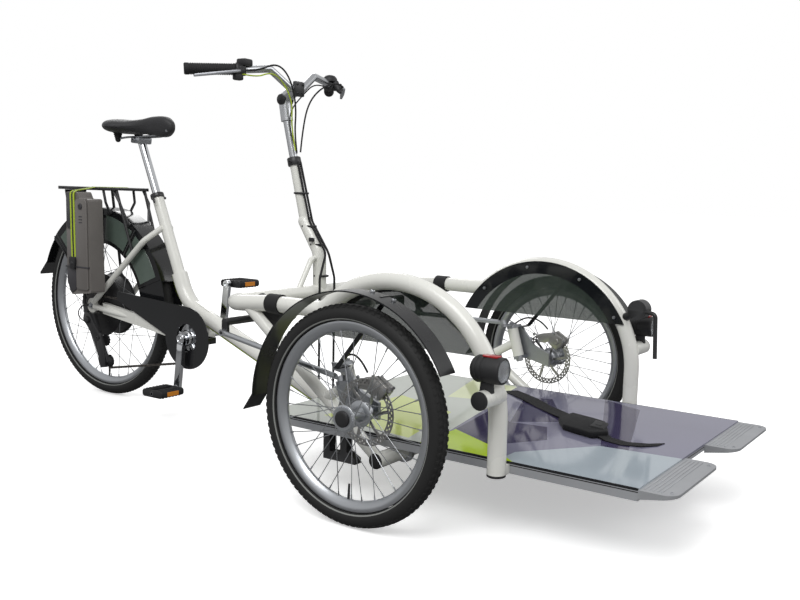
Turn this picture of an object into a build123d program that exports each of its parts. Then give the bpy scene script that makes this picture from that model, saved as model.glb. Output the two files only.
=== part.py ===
"""Wheelchair bicycle: a pedal tricycle that carries a wheelchair on a tilting platform in front.

X runs forward, Y to the left, Z up. Places are measured from the front axle line on the ground,
and each finished piece is moved back so that the origin is below the middle of the whole machine.
"""
import os
from math import atan2, cos, radians, sin, tan

from build123d import *

os.makedirs("parts", exist_ok=True)

# Wheels and track
front_wheel_radius = 256.0
rear_wheel_radius = 327.0
wheelbase = 1535.0
half_track = 504.0
tyre_width = 47.0
tyre_height = 46.0
rim_depth = 24.0
rim_width = 30.0

# Tube sizes
main_tube = 52.0
seat_tube = 38.0
seat_post_size = 27.2
stay_tube = 20.0
side_tube = 30.0
cross_tube = 42.4
lower_tube = 38.0
hoop_tube = 42.4
column_tube = 40.0
column_upper_tube = 30.0
handlebar_tube = 22.2
rod_size = 14.0

# Platform
platform_top = 178.0
platform_half_width = 358.0
platform_rear = -402.0
platform_front = 627.0
tilt_axis_height = 130.0
tip_length = 80.0
tip_width = 288.0

# Hoops beside the wheelchair
hoop_radius = 289.0
hoop_centre_x = 19.0
hoop_centre_z = 266.0
hoop_plane = 381.0
hoop_leg_height = 468.0
hoop_leg_end = -330.0
post_bottom = 148.0

# Rear cross tube, side tubes and kingpins
cross_x = -540.0
cross_height = 455.0
cross_leg_end = -372.0
side_top_x = -450.0
side_low_half = 400.0
kingpin_half = 405.0
kingpin_top_x = -100.0
kingpin_top = 345.0
kingpin_bottom = 262.0
kingpin_lean = 17.0

# Seat tube, crank and steering column in the side view
seat_foot_x = -1118.0
seat_foot_z = 362.0
seat_top_x = -1268.0
seat_top_z = 722.0
saddle_top = 985.0
crank_x = -1050.0
crank_height = 264.0
crank_length = 170.0
column_foot_x = -540.0
column_knee_x = -543.0
column_knee_z = 572.0
column_waist_x = -601.0
column_waist_z = 662.0
column_neck_x = -645.0
column_neck_z = 838.0
quill_length = 120.0
bar_clamp_x = -640.0
bar_clamp_z = 1050.0

# Rear mudguard, whose flap is the rearmost point
guard_clear = 14.0
flap_flare = 31.0
flap_angle = 166.0

# Shared allowances
overrun = 1.0
seat_gap = 0.3
running_gap = 6.0

sides = (("left", 1), ("right", -1))


def side_view(y):
    """A side view's plane at y: drawn in X and Z, and extruded towards the right."""
    return Plane(origin=(0, y, 0), x_dir=(1, 0, 0), z_dir=(0, -1, 0))


def cross_section(x, y, z):
    """A plane across the length, drawn in Y and Z, that wheels are revolved from."""
    return Plane(origin=(x, y, z), x_dir=(0, 1, 0), z_dir=(1, 0, 0))


def along(start, end, share):
    """The point at a share of the way from start to end."""
    return tuple(a + (b - a) * share for a, b in zip(start, end))


def bars(rows):
    """Round bars from rows of points, size and bend radius, which is 0 where the bar is straight."""
    with BuildPart() as group:
        for points, size, bend in rows:
            with BuildLine() as run:
                if bend:
                    FilletPolyline(*points, radius=bend)
                else:
                    Polyline(*points)
            with BuildSketch(Plane(origin=run.line @ 0, z_dir=run.line % 0)):
                Circle(size / 2)
            sweep(path=run.line, transition=Transition.ROUND)
    return group.part


def arc_band(centre, inner_radius, outer_radius, start, end, y, width):
    """A band round a centre in the side view, from the start angle to the end angle."""
    with BuildPart() as band:
        with BuildSketch(side_view(y + width / 2)):
            with BuildLine():
                outer = CenterArc(centre, outer_radius, start, end - start)
                inner = CenterArc(centre, inner_radius, start, end - start)
                Line(outer @ 0, inner @ 0)
                Line(outer @ 1, inner @ 1)
            make_face()
        extrude(amount=width)
    return band.part


def mirrored(piece):
    """The same piece on the other side of the machine."""
    with BuildPart() as other:
        add(piece)
        mirror(about=Plane.XZ, mode=Mode.REPLACE)
    return other.part


# Tyres and wheels
bead_share = 0.17
rim_nose = 8.0
spoke_size = 2.6
spokes_each_side = 18
spoke_lead_pitches = 2.6


def tyre(radius, x, y):
    """A round tyre with its beads on the rim's edge."""
    bead = tyre_height * bead_share
    with BuildPart() as ring:
        with BuildSketch(cross_section(x, y, radius)):
            with Locations((0, radius - tyre_height / 2)):
                Ellipse(tyre_width / 2, tyre_height / 2)
            with Locations((0, radius - tyre_height - overrun)):
                Rectangle(tyre_width, bead + overrun, align=(Align.CENTER, Align.MIN), mode=Mode.SUBTRACT)
        revolve(axis=Axis((x, y, radius), (0, 1, 0)))
    return ring.part


def spoked_wheel(radius, x, y, flange_radius, flange_half, hub):
    """Rim, crossed spokes and the hub that is handed in."""
    rim_outer = radius - tyre_height * (1 - bead_share)
    rim_inner = rim_outer - rim_depth
    pitch = 360.0 / spokes_each_side
    with BuildPart() as disc:
        with BuildSketch(cross_section(x, y, radius)):
            with BuildLine():
                Polyline((-rim_width / 2, rim_outer), (rim_width / 2, rim_outer),
                         (rim_width / 2, rim_outer - rim_depth / 2), (rim_nose / 2, rim_inner),
                         (-rim_nose / 2, rim_inner), (-rim_width / 2, rim_outer - rim_depth / 2), close=True)
            make_face()
        revolve(axis=Axis((x, y, radius), (0, 1, 0)))
        add(hub)
        for side in (-1, 1):
            for number in range(spokes_each_side):
                at_rim = radians(pitch * (number + (side + 1) / 4))
                lead = radians(pitch * spoke_lead_pitches) * (1 if number % 2 else -1)
                foot_radius = flange_radius - spoke_size
                tip_radius = rim_inner + spoke_size
                foot = Vector(x + foot_radius * sin(at_rim - lead), y + side * flange_half,
                              radius + foot_radius * cos(at_rim - lead))
                tip = Vector(x + tip_radius * sin(at_rim), y, radius + tip_radius * cos(at_rim))
                with BuildSketch(Plane(origin=foot, z_dir=tip - foot)):
                    RegularPolygon(spoke_size / 2, 4)
                extrude(amount=(tip - foot).length)
    return disc.part


# Front wheels: left one drawn, right one mirrored
hub_radius = 16.0
hub_flange_radius = 31.0
hub_flange_thickness = 4.0
hub_flange_half = 26.0
hub_half_length = 34.0
hub_cap_radius = 17.0
hub_cap_length = 6.0
rotor_radius = 80.0
rotor_web = 16.0
rotor_thickness = 3.0
rotor_inboard = 50.0
rotor_arms = 6
rotor_arm_width = 9.0
carrier_radius = 25.0
axle_size = 12.0
hub_rows = (
    # radius, near end, far end along the axle from the wheel's middle plane, outwards
    (hub_radius, -rotor_inboard, hub_half_length),
    (hub_cap_radius, hub_half_length, hub_half_length + hub_cap_length),
    (hub_flange_radius, hub_flange_half, hub_flange_half + hub_flange_thickness),
    (hub_flange_radius, -hub_flange_half - hub_flange_thickness, -hub_flange_half),
    (carrier_radius, -rotor_inboard, -hub_flange_half),
)
with BuildPart() as front_hub:
    for radius, near, far in hub_rows:
        with BuildSketch(side_view(half_track + far)):
            with Locations((0, front_wheel_radius)):
                Circle(radius)
        extrude(amount=far - near)
    with BuildSketch(side_view(half_track - rotor_inboard + rotor_thickness / 2)):
        with Locations((0, front_wheel_radius)):
            Circle(rotor_radius)
            Circle(rotor_radius - rotor_web, mode=Mode.SUBTRACT)
            Circle(carrier_radius)
        rotor_reach = rotor_radius - rotor_web / 2
        for number in range(rotor_arms):
            turn = 360.0 / rotor_arms * number
            with Locations((rotor_reach / 2 * cos(radians(turn)),
                            front_wheel_radius + rotor_reach / 2 * sin(radians(turn)))):
                Rectangle(rotor_reach, rotor_arm_width, rotation=turn)
    extrude(amount=rotor_thickness)
    with BuildSketch(side_view(half_track + hub_half_length)):
        with Locations((0, front_wheel_radius)):
            Circle(axle_size / 2 + seat_gap)
    extrude(amount=hub_half_length + rotor_inboard + rotor_thickness, mode=Mode.SUBTRACT)

wheel_front_left = spoked_wheel(front_wheel_radius, 0, half_track, hub_flange_radius,
                                hub_flange_half + hub_flange_thickness / 2, front_hub.part)
tyre_front_left = tyre(front_wheel_radius, 0, half_track)

# Rear wheel: the drive motor's drum with two spoke flanges, and the sprockets on the right
motor_radius = 112.0
motor_half_width = 42.0
motor_flange_inset = 12.0
motor_face_share = 0.78
motor_body_share = 0.94
sprocket_radius = 32.0
sprocket_width = 18.0
with BuildPart() as rear_drum:
    with BuildSketch(cross_section(-wheelbase, 0, rear_wheel_radius)):
        with BuildLine():
            body = motor_radius * motor_body_share
            face = motor_radius * motor_face_share
            inner = motor_half_width - motor_flange_inset
            slope = motor_flange_inset / 2
            Polyline((-motor_half_width, 0), (-motor_half_width, face), (-inner - slope, body),
                     (-inner, motor_radius), (-inner + slope, body), (inner - slope, body),
                     (inner, motor_radius), (inner + slope, body), (motor_half_width, face),
                     (motor_half_width, 0), close=True)
        make_face()
    revolve(axis=Axis((-wheelbase, 0, rear_wheel_radius), (0, 1, 0)))
    with BuildSketch(side_view(-motor_half_width)):
        with Locations((-wheelbase, rear_wheel_radius)):
            Circle(sprocket_radius)
    extrude(amount=sprocket_width)
    with BuildSketch(side_view(motor_half_width + overrun)):
        with Locations((-wheelbase, rear_wheel_radius)):
            Circle(axle_size / 2 + seat_gap)
    extrude(amount=2 * (motor_half_width + overrun) + sprocket_width, mode=Mode.SUBTRACT)

wheel_rear = spoked_wheel(rear_wheel_radius, -wheelbase, 0, motor_radius,
                          motor_half_width - motor_flange_inset, rear_drum.part)
tyre_rear = tyre(rear_wheel_radius, -wheelbase, 0)

# Rear frame: main tube, seat tube, bottom bracket and gusset
main_level = 118.0
main_level_x = -490.0
main_bend = 160.0
main_start_share = 0.72
bracket_shell = 42.0
bracket_half_width = 36.0
gusset_thickness = 14.0
gusset_rise = 34.0
spindle_size = 17.0
seat_top = (seat_top_x, 0, seat_top_z)
seat_foot = (seat_foot_x, 0, seat_foot_z)
seat_lean = atan2(seat_foot_x - seat_top_x, seat_top_z - seat_foot_z)
main_bars = bars((((along(seat_top, seat_foot, main_start_share), seat_foot,
                    (main_level_x, 0, main_level), (0, 0, main_level)), main_tube, main_bend),))
seat_bars = bars(((((seat_top), along(seat_top, seat_foot, 1 - (1 - main_start_share) / 2)), seat_tube, 0),))
with BuildPart() as rear_frame:
    add(main_bars)
    add(seat_bars)
    with BuildSketch(side_view(gusset_thickness / 2)):
        with BuildLine():
            Polyline((crank_x - bracket_shell / 2, crank_height), (crank_x + bracket_shell / 2, crank_height),
                     (crank_x + bracket_shell, crank_height + 2 * bracket_shell),
                     (seat_foot_x, seat_foot_z + gusset_rise), close=True)
        make_face()
    extrude(amount=gusset_thickness)
    with BuildSketch(side_view(bracket_half_width)):
        with Locations((crank_x, crank_height)):
            Circle(bracket_shell / 2)
    extrude(amount=2 * bracket_half_width)
    with BuildSketch(side_view(bracket_half_width + overrun)):
        with Locations((crank_x, crank_height)):
            Circle(spindle_size / 2 + seat_gap)
    extrude(amount=2 * (bracket_half_width + overrun), mode=Mode.SUBTRACT)

# Rear stays with the dropouts and the fixed axle
dropout_half = 68.0
dropout_thickness = 8.0
dropout_radius = 26.0
stay_half = 76.0
stay_wheel_half = 54.0
stay_wheel_share = 0.84
stay_top_half = 16.0
stay_top_share = 0.3
stay_start_share = 0.68
chain_stay_half = 34.0
chain_stay_share = 0.74
stay_bend = 60.0
broad_stay_height = 38.0
broad_stay_width = 16.0
broad_stay_inner = 48.0
broad_stay_shares = (0.1, 0.8)
stay_top = along(seat_top, seat_foot, stay_top_share)
stay_rows = []
for name, sign in sides:
    axle_end = (-wheelbase, sign * stay_half, rear_wheel_radius)
    seat_end = (stay_top[0], sign * stay_top_half, stay_top[2])
    shell_end = (crank_x - bracket_shell / 4, sign * chain_stay_half / 2, crank_height)
    upper_middle = along((-wheelbase, 0, rear_wheel_radius), (seat_end[0], 0, seat_end[2]), stay_wheel_share)
    lower_middle = along((-wheelbase, 0, rear_wheel_radius), (shell_end[0], 0, shell_end[2]), chain_stay_share)
    upper_middle = (upper_middle[0], sign * stay_wheel_half, upper_middle[2])
    lower_middle = (lower_middle[0], sign * chain_stay_half, lower_middle[2])
    for middle, end in ((upper_middle, seat_end), (lower_middle, shell_end)):
        reach = (Vector(*middle) - Vector(*axle_end)).normalized() * dropout_radius * stay_start_share
        stay_rows.append(((tuple(Vector(*axle_end) + reach), middle, end), stay_tube, stay_bend))
stay_bars = bars(stay_rows)
with BuildPart() as rear_stays:
    add(stay_bars)
    broad_ends = [along((-wheelbase, rear_wheel_radius), (crank_x, crank_height), share) for share in broad_stay_shares]
    for name, sign in sides:
        with BuildSketch(side_view(max(sign * broad_stay_inner, sign * (broad_stay_inner + broad_stay_width)))):
            with BuildLine():
                Polyline(*[(x, z + broad_stay_height / 2) for x, z in broad_ends],
                         *[(x, z - broad_stay_height / 2) for x, z in reversed(broad_ends)], close=True)
            make_face()
        extrude(amount=broad_stay_width)
        with BuildSketch(side_view(sign * dropout_half + dropout_thickness / 2)):
            with Locations((-wheelbase, rear_wheel_radius)):
                Circle(dropout_radius)
        extrude(amount=dropout_thickness)
    with BuildSketch(side_view(dropout_half + dropout_thickness)):
        with Locations((-wheelbase, rear_wheel_radius)):
            Circle(axle_size / 2)
    extrude(amount=2 * (dropout_half + dropout_thickness))
    add(main_bars, mode=Mode.SUBTRACT)
    add(seat_bars, mode=Mode.SUBTRACT)
    with BuildSketch(side_view(bracket_half_width + overrun)):
        with Locations((crank_x, crank_height)):
            Circle(bracket_shell / 2)
    extrude(amount=2 * (bracket_half_width + overrun), mode=Mode.SUBTRACT)

# Front frame: U-shaped cross tube, side tubes, lower cross tube, kingpin housings, relay bearings
cross_bend = 75.0
lower_half = side_low_half + side_tube / 2
housing_size = 34.0
kingpin_bolt = 14.0
strut_size = 26.0
strut_share = 0.62
relay_x = -490.0
relay_height = 412.0
relay_size = 20.0
bearing_y = 180.0
bearing_thickness = 12.0
bearing_width = 40.0
kingpin_slope = tan(radians(kingpin_lean))
kingpin_bottom_x = kingpin_top_x + (kingpin_top - kingpin_bottom) * kingpin_slope
kingpin_axis = Vector(-sin(radians(kingpin_lean)), 0, cos(radians(kingpin_lean)))
cross_rows = [
    # points, size, bend
    (((cross_leg_end, -hoop_plane, hoop_leg_height), (cross_x, -hoop_plane, cross_height),
      (cross_x, hoop_plane, cross_height), (cross_leg_end, hoop_plane, hoop_leg_height)), cross_tube, cross_bend),
    (((0, -lower_half, tilt_axis_height), (0, lower_half, tilt_axis_height)), lower_tube, 0),
]
for name, sign in sides:
    side_high = (side_top_x, sign * hoop_plane, cross_height)
    side_low = (0, sign * side_low_half, tilt_axis_height)
    housing_high = (kingpin_top_x, sign * kingpin_half, kingpin_top)
    housing_low = (kingpin_bottom_x, sign * kingpin_half, kingpin_bottom)
    cross_rows.append(((side_high, side_low), side_tube, 0))
    cross_rows.append(((along(side_high, side_low, strut_share), along(housing_high, housing_low, 0.5)), strut_size, 0))
    cross_rows.append(((housing_high, housing_low), housing_size, 0))
front_bars = bars(cross_rows)
with BuildPart() as front_frame:
    add(front_bars)
    for y in (-bearing_y, 0, bearing_y):
        with BuildSketch(side_view(y + bearing_thickness / 2)):
            with BuildLine():
                Polyline((cross_x, cross_height - bearing_width / 2), (cross_x, cross_height + bearing_width / 4),
                         (relay_x, relay_height + bearing_width / 2), (relay_x, relay_height - bearing_width / 2),
                         close=True)
            make_face()
            with Locations((relay_x, relay_height)):
                Circle(bearing_width / 2)
                Circle(relay_size / 2 + seat_gap, mode=Mode.SUBTRACT)
        extrude(amount=bearing_thickness)
    for name, sign in sides:
        with BuildSketch(Plane(origin=(kingpin_top_x, sign * kingpin_half, kingpin_top), z_dir=kingpin_axis)):
            Circle(kingpin_bolt / 2 + seat_gap)
        extrude(amount=kingpin_top - kingpin_bottom + housing_size, both=True, mode=Mode.SUBTRACT)
    add(main_bars, mode=Mode.SUBTRACT)

# Rubber buffers that the hoops' rear ends rest on
buffer_radius = 25.0
with BuildPart() as buffers:
    for name, sign in sides:
        with BuildSketch(Plane(origin=(cross_leg_end, sign * hoop_plane, hoop_leg_height), z_dir=(1, 0, 0))):
            Circle(buffer_radius)
        extrude(amount=hoop_leg_end - cross_leg_end - seat_gap)
    add(front_bars, mode=Mode.SUBTRACT)

# Belt reels for tying the wheelchair down, each with a knob
reel_half = 328.0
reel_size = 55.0
reel_bracket = 16.0
knob_size = 26.0
reel_places = (
    # ahead of the cross tube, above it: upper end, lower end, knob
    (74.0, 3.0), (162.0, -41.0), (135.0, -80.0),
)
reel_rows = []
for name, sign in sides:
    high, low, knob = [(cross_x + ahead, sign * reel_half, cross_height + up) for ahead, up in reel_places]
    middle = along(high, low, 0.5)
    reel_rows.append(((high, low), reel_size, 0))
    reel_rows.append(((middle, (middle[0], sign * hoop_plane, hoop_leg_height)), reel_bracket, 0))
    reel_rows.append(((middle, knob), reel_bracket, 0))
reel_bars = bars(reel_rows)
with BuildPart() as tie_downs:
    add(reel_bars)
    for name, sign in sides:
        with Locations((cross_x + reel_places[-1][0], sign * reel_half, cross_height + reel_places[-1][1])):
            Sphere(knob_size / 2)
    add(front_bars, mode=Mode.SUBTRACT)

# Steering column with its brace on the right
brace_size = 16.0
brace_foot_y = -100.0
brace_top_share = 0.86
brace_out_share = 0.35
brace_bend = 18.0
column_bend = 60.0
column_foot = (column_foot_x, 0, cross_height)
column_knee = (column_knee_x, 0, column_knee_z)
column_waist = (column_waist_x, 0, column_waist_z)
column_neck = (column_neck_x, 0, column_neck_z)
brace_top = along(column_foot, column_knee, brace_top_share)
column_bars = bars((
    ((column_foot, column_knee, column_waist), column_tube, column_bend),
    ((column_waist, column_neck), column_upper_tube, 0),
    ((brace_top, (brace_top[0], brace_foot_y * brace_out_share, brace_top[2]),
      (cross_x, brace_foot_y, cross_height)), brace_size, brace_bend),
))
waist_radius = column_tube / 2
with BuildPart() as steering_column:
    add(column_bars)
    with Locations(column_waist):
        Sphere(waist_radius)
    add(front_bars, mode=Mode.SUBTRACT)

# Seat post, saddle, and the rails and springs between them
post_top = 905.0
post_top_x = seat_top_x - (post_top - seat_top_z) * tan(seat_lean)
seat_post = bars((((seat_top, (post_top_x, 0, post_top)), seat_post_size, 0),))

saddle_length = 290.0
saddle_width = 215.0
saddle_nose_width = 44.0
saddle_depth = 42.0
saddle_nose_x = -1180.0
saddle_edge = 14.0
saddle_under = saddle_top - saddle_depth
saddle_rows = (
    # share of the length back from the nose, share of the width
    (0, saddle_nose_width / saddle_width), (0.42, 0.3), (0.8, 1.0), (1.0, 0.78),
)
saddle_side = [(saddle_nose_x - saddle_length * back, saddle_width / 2 * share) for back, share in saddle_rows]
with BuildPart() as saddle:
    with BuildSketch(Plane.XY.offset(saddle_under)):
        with BuildLine():
            Polyline(*saddle_side, *[(x, -y) for x, y in reversed(saddle_side)], close=True)
        make_face()
    extrude(amount=saddle_depth)
    fillet(saddle.edges().filter_by(Axis.Z), saddle_edge)
    fillet(saddle.faces().sort_by(Axis.Z)[-1].edges(), saddle_edge)

spring_radius = 19.0
spring_half = 42.0
spring_share = 0.8
rail_size = 7.0
rail_half = 20.0
clamp_half = 22.0
clamp_height = 24.0
rail_height = post_top + clamp_height / 2
spring_x = saddle_nose_x - saddle_length * spring_share
rail_rows = []
for name, sign in sides:
    rail_rows.append((((spring_x, sign * spring_half, rail_height - rail_size),
                       (post_top_x, sign * rail_half, rail_height),
                       (saddle_nose_x - 2 * saddle_nose_width, sign * rail_half, rail_height),
                       (saddle_nose_x - saddle_nose_width / 2, sign * rail_size, saddle_under - rail_size)),
                      rail_size, rail_half))
rail_bars = bars(rail_rows)
with BuildPart() as saddle_springs:
    add(rail_bars)
    for name, sign in sides:
        with BuildSketch(Plane.XY.offset(saddle_under - seat_gap)):
            with Locations((spring_x, sign * spring_half)):
                Circle(spring_radius)
        extrude(amount=rail_height - rail_size - saddle_under)
    with BuildSketch(Plane.XY.offset(saddle_under - seat_gap)):
        with Locations((saddle_nose_x - saddle_nose_width / 2, 0)):
            SlotCenterToCenter(2 * rail_size, 2 * rail_size + overrun, rotation=90)
    extrude(amount=-2 * rail_size)
    with BuildSketch(Plane.XY.offset(post_top - clamp_height / 2)):
        with Locations((post_top_x, 0)):
            Rectangle(2 * clamp_half, 2 * (rail_half + rail_size))
    extrude(amount=clamp_height)
    add(seat_post, mode=Mode.SUBTRACT)

# Luggage carrier on two legs a side
rack_rear = -1716.0
rack_front = -1395.0
rack_height = 733.0
rack_half_width = 66.0
rack_thickness = 8.0
rack_leg = 10.0
rack_leg_y = 58.0
rack_foot_half = 83.0
rack_corner = 12.0
stay_hold_share = 0.66
battery_inner = 92.0
battery_hold_shares = (0.3, 0.77)
battery_hold_x = -1475.0
rack_rows = []
for name, sign in sides:
    hold = along((-wheelbase, sign * stay_wheel_half, rear_wheel_radius),
                 (stay_top[0], sign * stay_wheel_half, stay_top[2]), stay_hold_share)
    rack_rows.append((((-wheelbase - dropout_radius, sign * rack_foot_half, rear_wheel_radius),
                       (rack_rear + 2 * rack_half_width, sign * rack_leg_y, rack_height)), rack_leg, 0))
    rack_rows.append((((-wheelbase - dropout_radius, sign * rack_foot_half, rear_wheel_radius),
                       (-wheelbase, sign * dropout_half, rear_wheel_radius)), rack_leg, 0))
    rack_rows.append(((hold, (rack_front - rack_leg, sign * rack_leg_y, rack_height)), rack_leg, 0))
leg_foot = (-wheelbase - dropout_radius, -rack_foot_half, rear_wheel_radius)
leg_head = (rack_rear + 2 * rack_half_width, -rack_leg_y, rack_height)
for share in battery_hold_shares:
    hold = along(leg_foot, leg_head, share)
    rack_rows.append(((hold, (battery_hold_x, rack_leg / 2 + seat_gap - battery_inner, hold[2])), rack_leg, 0))
rack_bars = bars(rack_rows)
with BuildPart() as rack:
    with BuildSketch(Plane.XY.offset(rack_height)):
        with Locations(((rack_rear + rack_front) / 2, 0)):
            RectangleRounded(rack_front - rack_rear, 2 * rack_half_width, rack_corner)
    extrude(amount=rack_thickness)
    add(rack_bars)
    add(rear_stays.part, mode=Mode.SUBTRACT)

# Battery on the right of the rear wheel
battery_width = 56.0
battery_edge = 9.0
battery_outline = (
    # ahead of the rear axle, above it
    (-21.0, 397.0), (39.0, 397.0), (51.0, 375.0), (99.0, 375.0), (103.0, 57.0), (-1.0, 45.0), (-25.0, 87.0),
)
with BuildPart() as battery:
    with BuildSketch(side_view(-battery_inner)):
        with BuildLine():
            Polyline(*[(ahead - wheelbase, up + rear_wheel_radius) for ahead, up in battery_outline], close=True)
        make_face()
    extrude(amount=battery_width)
    fillet(battery.edges().filter_by(Axis.Y), battery_edge)

# Rear mudguard with its flap, and the coat guards
guard_thickness = 3.0
guard_half_width = 34.0
guard_rear_angle = 158.0
guard_front_angle = 18.0
coat_inner = 222.0
coat_thickness = 3.0
coat_end_angle = 140.0
boss_size = 14.0
boss_share = 0.75
guard_radius = rear_wheel_radius + guard_clear
rear_centre = (-wheelbase, rear_wheel_radius)


def polar(centre, radius, angle):
    """The point at a radius and an angle in degrees from forward, in the side view."""
    return centre[0] + radius * cos(radians(angle)), centre[1] + radius * sin(radians(angle))


rear_sheet = arc_band(rear_centre, guard_radius, guard_radius + guard_thickness,
                      guard_front_angle, guard_rear_angle, 0, 2 * guard_half_width)
with BuildPart() as mudguard_rear:
    add(rear_sheet)
    with BuildSketch(side_view(guard_half_width)):
        with BuildLine():
            Polyline(polar(rear_centre, guard_radius, guard_rear_angle - overrun),
                     polar(rear_centre, guard_radius + guard_thickness, guard_rear_angle - overrun),
                     polar(rear_centre, guard_radius + flap_flare, flap_angle),
                     polar(rear_centre, guard_radius + flap_flare - guard_thickness, flap_angle + overrun),
                     close=True)
        make_face()
    extrude(amount=2 * guard_half_width)
    add(rear_stays.part, mode=Mode.SUBTRACT)
    add(rack.part, mode=Mode.SUBTRACT)

coat_outer = guard_half_width + seat_gap + coat_thickness - overrun
with BuildPart() as coat_guards:
    for name, sign in sides:
        add(arc_band(rear_centre, coat_inner, guard_radius + guard_thickness, 0, coat_end_angle,
                     sign * (guard_half_width + seat_gap + coat_thickness / 2), coat_thickness))
        with BuildSketch(side_view(max(sign * coat_outer, sign * stay_wheel_half))):
            with Locations(along(rear_centre, (stay_top[0], stay_top[2]), boss_share)):
                Circle(boss_size / 2)
        extrude(amount=stay_wheel_half - coat_outer)
    add(rear_stays.part, mode=Mode.SUBTRACT)
    add(rack.part, mode=Mode.SUBTRACT)

# Crank with its chainring, and the pedals
crank_lean = 8.0
crank_plane = 88.0
crank_thickness = 12.0
crank_width = 26.0
chainring_radius = 78.0
chainring_thickness = 4.0
chain_plane = 58.0
pedal_axle = 12.0
pedal_length = 96.0
pedal_width = 92.0
pedal_thickness = 26.0
crank_centre = (crank_x, crank_height)
crank_foot = {name: (crank_x + sign * crank_length * sin(radians(crank_lean)),
                     crank_height + sign * crank_length * cos(radians(crank_lean))) for name, sign in sides}
pedal_start = crank_plane + crank_thickness / 2 + running_gap
with BuildPart() as crank:
    with BuildSketch(side_view(crank_plane)):
        with Locations(crank_centre):
            Circle(spindle_size / 2)
    extrude(amount=2 * crank_plane)
    with BuildSketch(side_view(-chain_plane + chainring_thickness / 2)):
        with Locations(crank_centre):
            Circle(chainring_radius)
    extrude(amount=chainring_thickness)
    for name, sign in sides:
        with BuildSketch(side_view(sign * crank_plane + crank_thickness / 2)):
            with Locations(along(crank_centre, crank_foot[name], 0.5)):
                SlotCenterToCenter(crank_length, crank_width, rotation=90.0 - crank_lean)
        extrude(amount=crank_thickness)
        with BuildSketch(side_view(max(sign * crank_plane, sign * (pedal_start + pedal_width)))):
            with Locations(crank_foot[name]):
                Circle(pedal_axle / 2)
        extrude(amount=pedal_start + pedal_width - crank_plane)

pedals = {}
for name, sign in sides:
    with BuildPart() as pedal:
        with BuildSketch(side_view(max(sign * pedal_start, sign * (pedal_start + pedal_width)))):
            with Locations(crank_foot[name]):
                RectangleRounded(pedal_length, pedal_thickness, pedal_thickness / 3)
                Circle(pedal_axle / 2 + seat_gap, mode=Mode.SUBTRACT)
        extrude(amount=pedal_width)
    pedals[name] = pedal.part

# Chain, its guard and the tensioner
chain_width = 7.0
chain_height = 9.0
chain_gap = 1.0
pulley_x = -1462.0
pulley_z = 135.0
pulley_radius = 20.0
cage_thickness = 12.0
chain_radius = chainring_radius + chain_gap
rear_chain_radius = sprocket_radius + chain_gap
with BuildPart() as chain:
    with BuildSketch(side_view(-chain_plane + chain_width / 2)):
        with BuildLine():
            Polyline((crank_x, crank_height + chain_radius), (crank_x, crank_height + chain_radius + chain_height),
                     (-wheelbase, rear_wheel_radius + rear_chain_radius + chain_height),
                     (-wheelbase, rear_wheel_radius + rear_chain_radius), close=True)
        make_face()
        with BuildLine():
            Polyline((crank_x, crank_height - chain_radius), (crank_x, crank_height - chain_radius - chain_height),
                     (pulley_x, pulley_z - pulley_radius - seat_gap - chain_height),
                     (pulley_x, pulley_z - pulley_radius - seat_gap),
                     close=True)
        make_face()
    extrude(amount=chain_width)

guard_disc = 103.0
guard_arm_width = 20.0
guard_hole = 46.0
guard_plane = 66.0
cover_rear_share = 0.72
cover_depth = 30.0
cover_rear = along(crank_centre, (-wheelbase, rear_wheel_radius), cover_rear_share)
with BuildPart() as chain_guard:
    with BuildSketch(side_view(-guard_plane)):
        with Locations(crank_centre):
            Circle(guard_disc)
        with BuildLine():
            Polyline((crank_x, crank_height + guard_disc), (cover_rear[0], cover_rear[1] + chain_radius),
                     (cover_rear[0], cover_rear[1] + chain_radius - cover_depth),
                     (crank_x - guard_disc, crank_height), close=True)
        make_face()
        with Locations(crank_centre):
            Circle(guard_hole, mode=Mode.SUBTRACT)
    extrude(amount=guard_thickness)
    with BuildSketch(side_view(-bracket_half_width)):
        with Locations(crank_centre):
            Circle(bracket_shell / 2)
            Circle(spindle_size / 2 + running_gap, mode=Mode.SUBTRACT)
        with Locations((crank_x + guard_disc / 2 + running_gap, crank_height)):
            Rectangle(guard_disc - 2 * running_gap, guard_arm_width)
    extrude(amount=guard_thickness)
    with BuildSketch(side_view(-bracket_half_width)):
        with Locations((crank_x + guard_disc - guard_thickness / 2, crank_height)):
            Rectangle(guard_thickness, guard_arm_width)
    extrude(amount=guard_plane - bracket_half_width + guard_thickness)

with BuildPart() as tensioner:
    with BuildSketch(side_view(-dropout_half - dropout_thickness / 2 - seat_gap)):
        with BuildLine():
            Polyline((-wheelbase - dropout_radius, rear_wheel_radius - dropout_radius),
                     (-wheelbase + dropout_radius, rear_wheel_radius - dropout_radius),
                     (pulley_x + pulley_radius, pulley_z), (pulley_x - pulley_radius, pulley_z), close=True)
        make_face()
    extrude(amount=cage_thickness)
    with BuildSketch(side_view(-chain_plane + chain_width / 2)):
        with Locations((pulley_x, pulley_z)):
            Circle(pulley_radius)
    extrude(amount=dropout_half + cage_thickness - chain_plane)

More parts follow.
